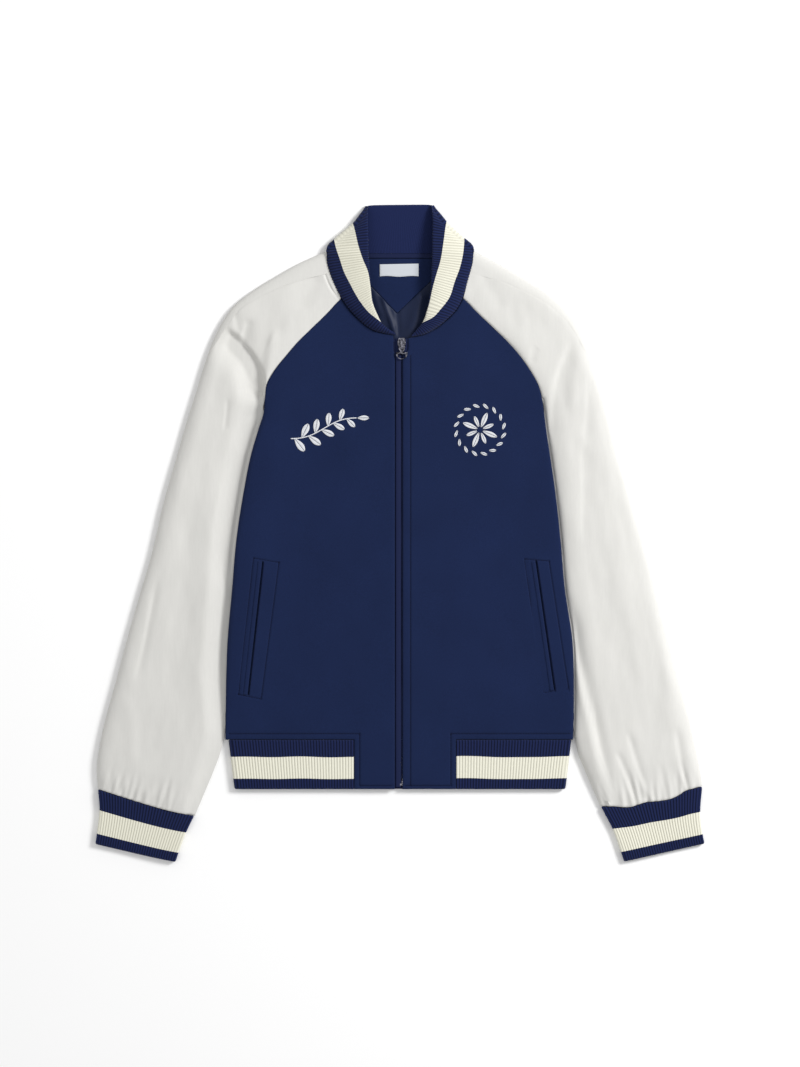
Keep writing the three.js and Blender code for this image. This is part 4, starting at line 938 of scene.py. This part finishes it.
def hem_runs():
    """The hem from placket to placket, in runs: columns, ribs, place along the run."""
    r, angle = HEM_TURN, np.radians(np.linspace(78, -78, 14))
    cos, sin, fold_share = np.cos(angle), np.sin(angle), np.linspace(0, 1, len(angle))
    half = {}
    for side, sg in SIDES.items():
        seam_x, free_x = (x - sg * r for x in HEM_SIDE_X[side])
        placket = PLACKET_X[side] + sg * 0.4
        ribs = round(abs(seam_x - placket) / RIB_PITCH)
        t = np.linspace(0, 1, ribs * COLUMNS_PER_RIB + 1)
        flat = hem_run(mix(placket, seam_x, t), 2 * r, mix(placket, free_x, t), 2 * r - 0.6, 0, 1)
        fold = hem_run(seam_x + sg * r * cos, r + r * sin, free_x + sg * r * cos,
                       r + r * sin - 0.3 * (1 + sin), sg * cos, sin)
        half[side] = [(flat, ribs, t), (fold, 3, fold_share)]
    t = np.linspace(0, 1, HEM_BACK_RIBS * 4 + 2)[1:-1]
    (seam_r, free_r), (seam_l, free_l) = HEM_SIDE_X["right"], HEM_SIDE_X["left"]
    behind = hem_run(mix(seam_r + r, seam_l - r, t), 0, mix(free_r + r, free_l - r, t), 0, 0, -1)
    backwards = [(columns[::-1], ribs, share) for columns, ribs, share in reversed(half["left"])]
    return half["right"] + [(behind, HEM_BACK_RIBS, t)] + backwards


def hem():
    """One strip round the body, placket to placket, folded at the sides."""
    runs = hem_runs()
    columns = np.concatenate([run[0] for run in runs])
    start = RIB_PITCH * np.cumsum([0] + [ribs for _, ribs, _ in runs])
    u = np.concatenate([first + share * ribs * RIB_PITCH for first, (_, ribs, share) in zip(start, runs)])
    seam, free, out = columns[:, :3], columns[:, 3:6], columns[:, 6:]
    # ribs may not sink below the surface that the jacket lies on
    lift = np.where(out[:, 2] < -0.3, RIB_RISE, 0) * -out[:, 2]
    seam[:, 2] += lift
    free[:, 2] += lift
    v = np.r_[0, 0.012, 0.03, 0.06, np.linspace(0.1, 0.9, 12), 0.94, 0.965, 0.985, 1][:, None]
    depth = np.linalg.norm(free - seam, axis=1)
    free_roll = edge_roll(depth * (1 - v), 3.2, RIB_WALL * 0.45)
    sink = edge_roll(depth * v * 1.2, 2.2, 1.2) + free_roll
    carve = rib_profile(u) * np.clip(np.minimum(depth * v, depth * (1 - v) + 0.9) / 1.5, 0, 1)
    base = mix(seam, free, v[..., None])
    sway = 0.7 * ripple(u, 0 * u, 90, 17) * 4 * v * (1 - v)
    cloth("hem_rib_knit", "hem_rib", "rib_knit", "hem", base + out * (RIB_RISE - carve - sink)[..., None],
          base - out * (RIB_WALL - free_roll)[..., None], flat=(0.72, 0.063), sharp=70,
          uv=np.dstack([u + 0 * v, v * (HEM_SEAM - HEM_END) + sway]) / 10)


hem()


def cuff(side):
    """A knitted tube lying flat, ribs all round."""
    table = CUFF[side]
    rows = np.r_[0, 0.03, 0.07, np.linspace(0, 3, 24)[1:-1], 2.9, 2.96, 3]
    ox, oy, ix, iy, height = (smooth(range(4), table[:, k], rows) for k in range(5))
    ribs = round(np.linalg.norm(table[1, 2:4] - table[1, :2]) / RIB_PITCH)
    flat = np.arange(ribs * COLUMNS_PER_RIB) / (ribs * COLUMNS_PER_RIB)
    turn = np.linspace(0, math.pi, 2 * COLUMNS_PER_RIB + 1)[:-1]
    sin, cos, level = np.sin(turn), np.cos(turn), 0 * flat
    # round the tube: upper face, inner fold, lower face, outer fold
    u = RIB_PITCH * np.r_[flat * ribs, ribs + turn / math.pi * 2, 2 + ribs * (1 + flat),
                          2 + 2 * ribs + turn / math.pi * 2]
    away = np.c_[np.r_[level, sin, level, -sin], np.r_[level + 1, cos, level - 1, -cos]]
    outer, inner, uv = [], [], []
    for k, row in enumerate(rows):
        start, across = np.array([ox[k], oy[k]]), np.array([ix[k] - ox[k], iy[k] - oy[k]])
        length, r = np.linalg.norm(across), height[k] / 2
        middle = np.c_[np.r_[mix(r, length - r, flat), length - r + r * sin,
                             mix(length - r, r, flat), r - r * sin],
                       np.r_[level + 2 * r, r + r * cos, level, r - r * cos]]
        from_seam, from_mouth = min(row, 0.5) * 26, (3 - row) * 13
        sink = edge_roll(from_seam, 2.5, 1.3) + edge_roll(from_mouth, 3.0, 1.4)
        carve = rib_profile(u) * min(1, from_seam / 1.5 + 0.2)
        over = middle - away * (carve + sink)[:, None]
        over[:, 1] += 0.5 * np.sin(u * 0.05 + row) * np.maximum(away[:, 1], 0)
        under = middle - away * (RIB_WALL - edge_roll(from_mouth, 3.0, 0.5))
        for target, q in ((outer, over), (inner, under)):
            target.append(np.c_[start + across / length * q[:, :1], np.maximum(q[:, 1], 0.0)])
        uv.append(np.c_[u, np.full(len(u), np.interp(row, range(4), [0, *CUFF_STRIPE, 70]))] / 10)
    outer, inner = np.array(outer), np.array(inner)
    for points in (outer, inner):
        points[..., :2] = sagged(side, points[..., :2])
    cloth(f"cuff_{side}_knit", f"cuff_{side}", "rib_knit", "cuff", outer, inner, flat=(0.215, 0.072),
          uv=np.array(uv), ring=True, sharp=70)


for side in SIDES:
    cuff(side)


# ---- collar ----------------------------------------------------------------
ALONG_DEPTH = np.r_[0, 0.012, 0.03, 0.06, np.linspace(0.1, 0.9, 19), 0.94, 0.965, 0.985, 1]
COLLAR_WALL, COLLAR_BACK_RIBS = 2.6, 50
UP = np.array([0.0, 0.0, 1.0])


def collar_depth(side, x, y):
    """Distance from the neck seam in the knit, read off the stripe lines."""
    start, end = (distance(x, y, line_points(p, 60))[0] * SIDES[side] for p in COLLAR_LINES[side])
    a, b = COLLAR_STRIPE
    share = start / np.maximum(start - end, 1e-6)
    return np.where(start < 0, a + start, np.where(end < 0, a + (b - a) * share, b + end))


def collar_cloth(name, outer, inner, uv, **sheet):
    """Half of the collar; the side with v = 0 shows no ribs."""
    uv = np.array(uv)
    cloth(name, "collar_rib", "rib_knit", "collar", np.array(outer), np.array(inner),
          uv=uv, uv_low=uv * [1, 0], sharp=70, **sheet)


def collar_turn(side, seam, where, on_fold):
    """Lines round the fold at the seam, outer and inner face in turn. Where the
    seam itself runs, the fold is hardly more than an edge."""
    ahead = np.gradient(seam[:, :2], axis=0)
    ahead /= np.linalg.norm(ahead, axis=1)[:, None]
    away = np.c_[-ahead[:, 1], ahead[:, 0], 0 * where] * -SIDES[side]
    r = mix(0.4, (seam[:, 2] + RIB_RISE) / 2, on_fold)
    thin = mix(0.3, COLLAR_WALL - 0.4, on_fold)
    carve = rib_profile(where) * mix(0.6, 0.2, on_fold)
    middle = seam + UP * (RIB_RISE - r)[:, None]
    for angle in np.radians(np.linspace(-90, 80, 15)):
        way = away * math.cos(angle) + UP * math.sin(angle)
        yield middle + way * (r - carve)[:, None], middle + way * (r - thin)[:, None]


def collar_rows(seam, free, where, on_fold):
    """Lines from the seam to the free edge, outer and inner face in turn."""
    depth = np.linalg.norm(free - seam, axis=1)
    room = np.minimum(1, depth / 12)
    for v in ALONG_DEPTH:
        base, from_seam, from_edge = mix(seam, free, v), depth * v, depth * (1 - v)
        swell = 2.0 * 4 * v * (1 - v) * (1 - 0.5 * on_fold)
        swell += 2.6 * (1 - np.exp(-from_seam / 3.5)) * (1 - v) * (1 - on_fold)
        swell = swell * room + 0.25 * v * ripple(base[:, 0], base[:, 1], 45, 31)
        sink = edge_roll(from_seam, 2.4, 1.0) * (1 - on_fold) + edge_roll(from_edge, 3.0, 1.6)
        carve = rib_profile(where) * np.clip((np.minimum(from_seam, from_edge) + 0.9) / 1.5, 0, 1)
        carve *= 1 - 0.67 * on_fold * np.exp(-((from_seam / 7) ** 2))
        over = RIB_RISE + swell - (carve + sink) * room
        under = swell * 0.8 - COLLAR_WALL + edge_roll(from_edge, 3.0, 0.9) * room
        yield base + UP * over[:, None], base + UP * under[:, None]


def collar_front(side):
    """The half whose outer face shows, from the zip to the peak. Returns the
    points of its fold behind the shoulder."""
    table = COLLAR[side]
    step = np.diff(walked(table[:, :2]))
    step[COLLAR_FOLD_ROW:] = np.diff(walked(table[:, 3:5]))[COLLAR_FOLD_ROW:]
    s = np.r_[0, np.cumsum(step)]
    where = np.linspace(0, s[-1], int(s[-1] / RIB_PITCH * COLUMNS_PER_RIB))
    columns = np.stack([smooth(s, table[:, k], where) for k in range(6)], axis=1)
    seam, free = columns[:, :3], columns[:, 3:]
    on_fold = ease((where - s[COLLAR_FOLD_ROW] + 6) / 12)
    lines = [*collar_turn(side, seam, where, on_fold), *collar_rows(seam, free, where, on_fold)]
    outer, inner = zip(*lines)
    uv = [np.c_[where, collar_depth(side, line[:, 0], line[:, 1])] / 10 for line in outer]
    collar_cloth(f"collar_{side}_knit", outer, inner, uv, flat=(0.2, 0.078), area=0.0086, held="folded")
    return seam[where >= s[COLLAR_FOLD_ROW]]


def collar_back(folds):
    """The half behind the neck, inner face up, from fold to fold."""
    t = np.linspace(0, 1, COLLAR_BACK_RIBS * 6 + 1)
    u = t * COLLAR_BACK_RIBS * RIB_PITCH
    right, left = folds["right"], folds["left"]
    seam = (np.interp(t, [0, 0.16, 0.84, 1], [right[0, 0], -62, 62, left[0, 0]]),
            np.interp(t, [0, 0.1, 0.16, 0.84, 0.9, 1], [358.6, 356.6, 355.6, 355.6, 356.6, 358.8]))
    free = mix(right[-1, 0] - 0.5, left[-1, 0] + 0.5, t), mix(417.2, 418.0, t)
    bend = np.exp(-t / 0.05) + np.exp(-(1 - t) / 0.05)
    carve = rib_profile(u) / RIB_RISE
    outer, inner, uv = [], [], []
    for v in ALONG_DEPTH:
        xy = [mix(seam[k], free[k], v) for k in (0, 1)]
        for fold, half in ((right, t < 0.5), (left, t >= 0.5)):
            share = np.linspace(0, 1, len(fold))
            for k in (0, 1):
                xy[k][half] = mix(xy[k][half], np.interp(v, share, fold[:, k]), bend[half])
        edge = edge_roll((1 - v) * 60, 3.0, 0.9)
        outer.append(np.c_[xy[0], xy[1], 0.05 + 0.45 * carve + edge])
        inner.append(np.c_[xy[0], xy[1], COLLAR_WALL - 0.1 * carve - edge])
        uv.append(np.c_[u, np.full(len(t), v * 66)] / 10)
    collar_cloth("collar_back_knit", outer, inner, uv, flat=(0.21, 0.066), area=0.0085)


collar_back({side: collar_front(side) for side in SIDES})


# ---- inside the neck -------------------------------------------------------
INSIDE = BACK_WALL + 0.35           # lowest height of the pieces on the inner face of the back


def facing_edge(x):
    """Lower edge of the neck facing, a V above the lining."""
    return 279 + np.where(x < -4.4, (-4.4 - x) * 1.06, (x + 4.4) * 0.95)


def satin_folds(x, y):
    """The lining drawn into soft folds that run down to the zip."""
    z = 0.9 + 0.2 * ripple(x, y, 26, 8)
    for line, rise, left, right in (
            ([(26, 312), (23, 292), (18, 272), (12, 256), (5, 242)], 3.0, 9, 9),
            ([(-5, 292), (-3, 270), (-2, 246)], -1.8, 3, 3),
            ([(-24, 306), (-18, 285), (-11, 266), (-6, 246)], 2.2, 4, 4),
            ([(-36, 312), (-29, 292), (-18, 268)], 1.0, 5, 6)):
        z = z + fold_height(x, y, line, rise, left, right, 0.2, 0.3)
    return np.maximum(z, 0)


def flat_piece(node, slot, material, xs, shares, ends, z, wall, lift=None, **sheet):
    """A flat piece with straight sides; ends gives y at its low and high end."""
    x = np.repeat(xs[None], len(shares), axis=0)
    low_y, high_y = (end(x) if callable(end) else end for end in ends)
    y = mix(low_y, high_y, shares[:, None]) + 0 * x
    raised = lift(x, y) if lift else 0
    from_edge = np.minimum(np.minimum(x - x.min(), x.max() - x), np.minimum(y - y.min(0), y.max(0) - y))
    top = grid(x, y, z + raised - edge_roll(from_edge, 0.9, wall * 0.5))
    cloth(node + "_cloth", node, slot, material, top, grid(x, y, z - wall + 0.6 * raised), **sheet)


flat_piece("neck_facing", "facing_wool", "facing", np.linspace(-58, 58, 70),
           np.r_[0, 0.004, 0.01, np.linspace(0.03, 0.97, 30), 0.99, 0.996, 1],
           (lambda x: facing_edge(x) + 0.4, 348.8), INSIDE + 1.5, 1.4,
           lambda x, y: 0.12 * ripple(x, y, 40, 3), flat=(0.116, 0.072), area=0.0053, rests_on=["back"])
flat_piece("neck_tape", "tape_navy", "tape", np.linspace(-56, 56, 40), np.linspace(0, 1, 8),
           (349.4, 355.3), INSIDE + 1.7, 1.6, flat=(0.112, 0.01), area=0.0008, rests_on=["back"])
flat_piece("lining", "lining_satin", "satin", np.linspace(-56, 56, 70), np.linspace(0, 1, 56),
           (226.0, lambda x: facing_edge(x) - 0.1), INSIDE + 1.2, 1.1, satin_folds,
           flat=(0.112, 0.11), area=0.0085, rests_on=["back"])
flat_piece("neck_label", "label_white", "label", np.linspace(-26.3, 23, 40), np.linspace(0, 1, 14),
           (lambda x: 326.4 + 0.5 * np.sin((x + 26) / 5.2), lambda x: 341.6 + 0.02 * (x + 26)),
           INSIDE + 2.65, 0.8, flat=(0.05, 0.016), rests_on=["neck_facing"])


# ---- zip -------------------------------------------------------------------
# Columns of a tape, from the middle of the zip.
TAPE_X = np.array([0.6, 0.8, 1.3, 2.2, 3.5, 5, 6.4, 7.4, 8.0, 8.5, 9.2, 10.5, 13, 14])
TAPE_HUMP = {"right": 1.9, "left": 0.3}     # rise of the tape beside the coil, below the slider
TOOTH_PITCH = 0.95


def zip_tape(side):
    x, y = np.meshgrid(ZIP_X + SIDES[side] * TAPE_X, np.linspace(-322.5, 247, 150))
    above = ease((y - SLIDER_Y[0]) / 8)
    across = np.abs(x - ZIP_X)
    hump = mix(TAPE_HUMP[side], 1.3, above)
    z = 5.6 + hump * ease((across - 0.5) / 1.2) * ease((8.6 - across) / 1.5)
    z -= 0.3 * np.exp(-((across - 1.9 - 3.6 * above) / 0.6) ** 2)
    cloth(f"zip_tape_{side}_cloth", f"zip_tape_{side}", "tape_navy", "tape", grid(x, y, z),
          grid(x, y, z - 1.1), flat=(0.014, 0.57), rests_on=["back"])


for side in SIDES:
    zip_tape(side)


def box_mesh(centre, half, along):
    """Corners and faces of a small rounded block, its top edges drawn in."""
    a = np.array([*along, 0.0]) / np.linalg.norm(along)
    b = np.array([-a[1], a[0], 0.0])
    verts = []
    for level, width in ((-1, 0.8), (-0.3, 1.0), (0.45, 0.95), (1, 0.55)):
        for i, j in ((-1, -1), (1, -1), (1, 1), (-1, 1)):
            verts.append(np.array(centre) + a * (i * half[0] * (1 + width) / 2) + b * (j * half[1] * width)
                         + [0, 0, level * half[2]])
    quads = [[0, 3, 2, 1], [12, 13, 14, 15]]
    for level in range(3):
        for k in range(4):
            p, q = level * 4 + k, level * 4 + (k + 1) % 4
            quads.append([p, q, q + 4, p + 4])
    return np.array(verts), np.array(quads)


def merged(name, slot, material, blocks, *nodes):
    """One piece of many blocks."""
    verts, quads = zip(*blocks)
    first = np.cumsum([0] + [len(v) for v in verts[:-1]])
    quads = np.concatenate([q + start for q, start in zip(quads, first)])
    piece(mesh_object(name, np.concatenate(verts), quads, MAT[material], sharp=75), slot, *nodes)


merged("zip_coil", "tape_navy", "tape",
       [box_mesh((ZIP_X + (0.55 if k % 2 else -0.55), y, 6.15), (1.35, 0.34, 0.45), (1, 0))
        for k, y in enumerate(np.arange(-316.0, 229.0, TOOTH_PITCH))])

# The slider and its pull are the CAD's own bodies, with softened edges.
for node in ("zip_slider", "zip_pull"):
    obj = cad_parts[node]
    obj.data.materials.clear()
    obj.data.materials.append(MAT["metal"])
    bevel = obj.modifiers.new("edges", "BEVEL")
    bevel.width = 0.35 * MM
    bevel.segments = 3
    bevel.limit_method = "ANGLE"
    bevel.angle_limit = math.radians(40)

merged("zip_box_metal", "zip_metal", "metal",
       [box_mesh((ZIP_X + 0.75, -316.3, 6.9), (4.6, 0.75, 0.9), (0, 1)),
        box_mesh((ZIP_X - 0.4, -319.6, 6.4), (2.2, 1.6, 1.0), (1, 0))], "zip_box")


# ---- pocket welts ----------------------------------------------------------
WELT_ACROSS = np.array([0, 0.3, 0.9, 1.8, 2.8, 3.8, 4.6, 5.0, 5.2])
WELT_END, WELT_FROM_SLIT = 1.0, 0.6     # it ends short of the slit's ends, and lies beside it


def pocket_welt(side):
    start, end = np.array(POCKET[side])
    length = np.linalg.norm(end - start)
    ax, ay = (end - start) / length
    s, w = np.meshgrid(steps_to(length - 2 * WELT_END, 3) + WELT_END, WELT_ACROSS, indexing="ij")
    x = start[0] + ax * s + ay * (w + WELT_FROM_SLIT)
    y = start[1] + ay * s - ax * (w + WELT_FROM_SLIT)
    front_z = front_height(side, x, y)
    z = front_z + 1.0 + 0.12 * ripple(x, y, 30, 9) - edge_roll(np.minimum(w, WELT_ACROSS[-1] - w), 1.7, 0.9)
    z -= edge_roll(np.minimum(s - WELT_END, length - WELT_END - s), 1.5, 0.6)
    cloth(f"pocket_welt_{side}_cloth", f"pocket_welt_{side}", "wool_navy", "wool", grid(x, y, z),
          grid(x, y, front_z - 0.25), flat=(0.012, 0.172), area=0.001, held="folded",
          rests_on=["front_" + side])


for side in SIDES:
    pocket_welt(side)


# ---- stitches --------------------------------------------------------------
def stitches(points, height, size=(STITCH, THREAD), step=STITCH + STITCH_GAP):
    """Blocks for a row of stitches along a line on a surface."""
    points = np.asarray(points, float)
    s = walked(points)
    where = np.arange(step / 2, s[-1], step)
    here, back, ahead = (np.stack([np.interp(where + shift, s, points[:, k]) for k in (0, 1)], axis=1)
                         for shift in (0, -0.5, 0.5))
    half = (size[0] / 2, size[1] / 2, size[1] / 2)
    return [box_mesh((x, y, z), half, along)
            for (x, y), z, along in zip(here, height(here[:, 0], here[:, 1]), ahead - back)]


def topstitch(side):
    """Thread along the hem, the zip and the pocket frame of a front."""
    blocks = []
    for line in STITCH_LINES[side]:
        blocks += stitches(line, lambda x, y: front_height(side, x, y) - 0.45)
    for ends in round_trip(POCKET_FRAME[side]):
        blocks += stitches(ends, lambda x, y: front_height(side, x, y) - 0.6)
    merged("topstitch_" + side, "wool_navy", "thread", blocks)


for side in SIDES:
    topstitch(side)


# ---- embroidery: plain motifs of our own on the two chest places -------------
def heading(angle):
    return np.array([math.cos(angle), math.sin(angle)])


def satin_stitch(outline_a, outline_b, height):
    """Threads laid side by side between two lines of equally many points."""
    blocks = []
    for p, q in zip(outline_a, outline_b):
        length = np.linalg.norm(q - p)
        if length < 0.4:
            continue
        x, y = (p + q) / 2
        blocks.append(box_mesh((x, y, height(np.array([x]), np.array([y]))[0] + 0.35),
                               (length / 2, THREAD_PITCH * 0.55, 0.42), q - p))
    return blocks


def leaf(base, angle, length, width, height):
    """A leaf whose two halves are filled with slanting threads."""
    along, across = heading(angle), heading(angle + math.pi / 2)
    t = np.arange(0.04, 0.97, THREAD_PITCH / length)
    half = width / 2 * np.sin(math.pi * t) ** 0.8
    spine = base + along * (t * length)[:, None]
    blocks = []
    for sign in (-1, 1):
        ahead = np.clip(t * length + half * 0.5, 0, length)
        tip = base + along * ahead[:, None] + across * (sign * half)[:, None]
        blocks += satin_stitch(spine + across * sign * 0.25, tip, height)
    return blocks


def sprig(centre, length, tilt, height):
    """A winding stem with leaves on both sides and one at its tip."""
    t = np.linspace(-0.5, 0.5, 60)
    stem = (centre + heading(tilt) * (t * length)[:, None]
            + heading(tilt + math.pi / 2) * (5 * np.sin(t * 5.2))[:, None])
    blocks = stitches(stem, lambda x, y: height(x, y) + 0.3, (3.0, 1.3), 2.6)
    for k, share in enumerate(np.linspace(0.06, 0.86, 9)):
        i = int(share * (len(t) - 1))
        dx, dy = stem[i + 1] - stem[i - 1]
        size = 21 - 7 * share
        blocks += leaf(stem[i], math.atan2(dy, dx) + (0.95 if k % 2 else -0.95), size, size * 0.42, height)
    dx, dy = stem[-1] - stem[-3]
    return blocks + leaf(stem[-1], math.atan2(dy, dx), 15, 6.2, height)


def star(centre, radius, height):
    """Eight-pointed star of satin stitch with a ring of small leaves."""
    blocks = []
    for k in range(8):
        angle = math.tau * k / 8 + math.pi / 8
        length = radius * (0.62 if k % 2 else 0.48)
        blocks += leaf(centre + 3.2 * heading(angle), angle, length, length * 0.3, height)
    for k in range(16):
        angle = math.tau * k / 16
        base = centre + radius * 0.86 * heading(angle)
        blocks += leaf(base, angle + 1.2, radius * 0.3, radius * 0.11, height)
    return blocks


merged("embroidery_sprig", "label_white", "white",
       sprig(np.array([-97.0, 133.0]), 88, math.radians(14), lambda x, y: front_height("right", x, y)))
merged("embroidery_star", "label_white", "white",
       star(np.array([101.0, 131.0]), 33, lambda x, y: front_height("left", x, y)))


# ---- floor, light and camera -----------------------------------------------
def area_light(name, place, size, power):
    """A round lamp that points at the middle of the jacket."""
    light = bpy.data.lights.new(name, "AREA")
    light.shape, light.size, light.energy = "DISK", size, power
    obj = bpy.data.objects.new(name, light)
    obj.location = place
    obj.rotation_euler = (-Vector(place)).to_track_quat("-Z", "Y").to_euler()
    bpy.context.scene.collection.objects.link(obj)


bpy.ops.mesh.primitive_plane_add(size=12, location=(0, 0, -0.0003))
floor = bpy.context.object
floor.name = "floor"
paper = Nodes("floor_paper", linear(250, 250, 250), 0.95, Specular_IOR_Level=0.05)
floor.data.materials.append(paper.material)

world = bpy.data.worlds.new("studio")
bpy.context.scene.world = world
world.use_nodes = True
background = world.node_tree.nodes["Background"]
background.inputs["Color"].default_value = (1, 1, 1, 1)
background.inputs["Strength"].default_value = 0.61
area_light("key", (2.2, 1.2, 1.9), 1.0, 86)
area_light("fill", (-1.8, -0.4, 2.6), 2.2, 7)

VIEW_WIDTH = 1.016                  # metres across the picture at the jacket
JACKET_TOP, CAMERA_UP = 9.0 * MM, 4.0
camera = bpy.data.cameras.new("camera")
camera.sensor_fit = "HORIZONTAL"
camera.sensor_width = 36
camera.lens = camera.sensor_width * CAMERA_UP / VIEW_WIDTH
eye = bpy.data.objects.new("camera", camera)
eye.location = (-0.0006, -0.0006, CAMERA_UP + JACKET_TOP)
bpy.context.scene.collection.objects.link(eye)
bpy.context.scene.camera = eye
bpy.context.scene.view_settings.view_transform = "Standard"
bpy.context.scene.view_settings.look = "None"

# ---- update the scene ------------------------------------------------------
bpy.context.view_layer.update()
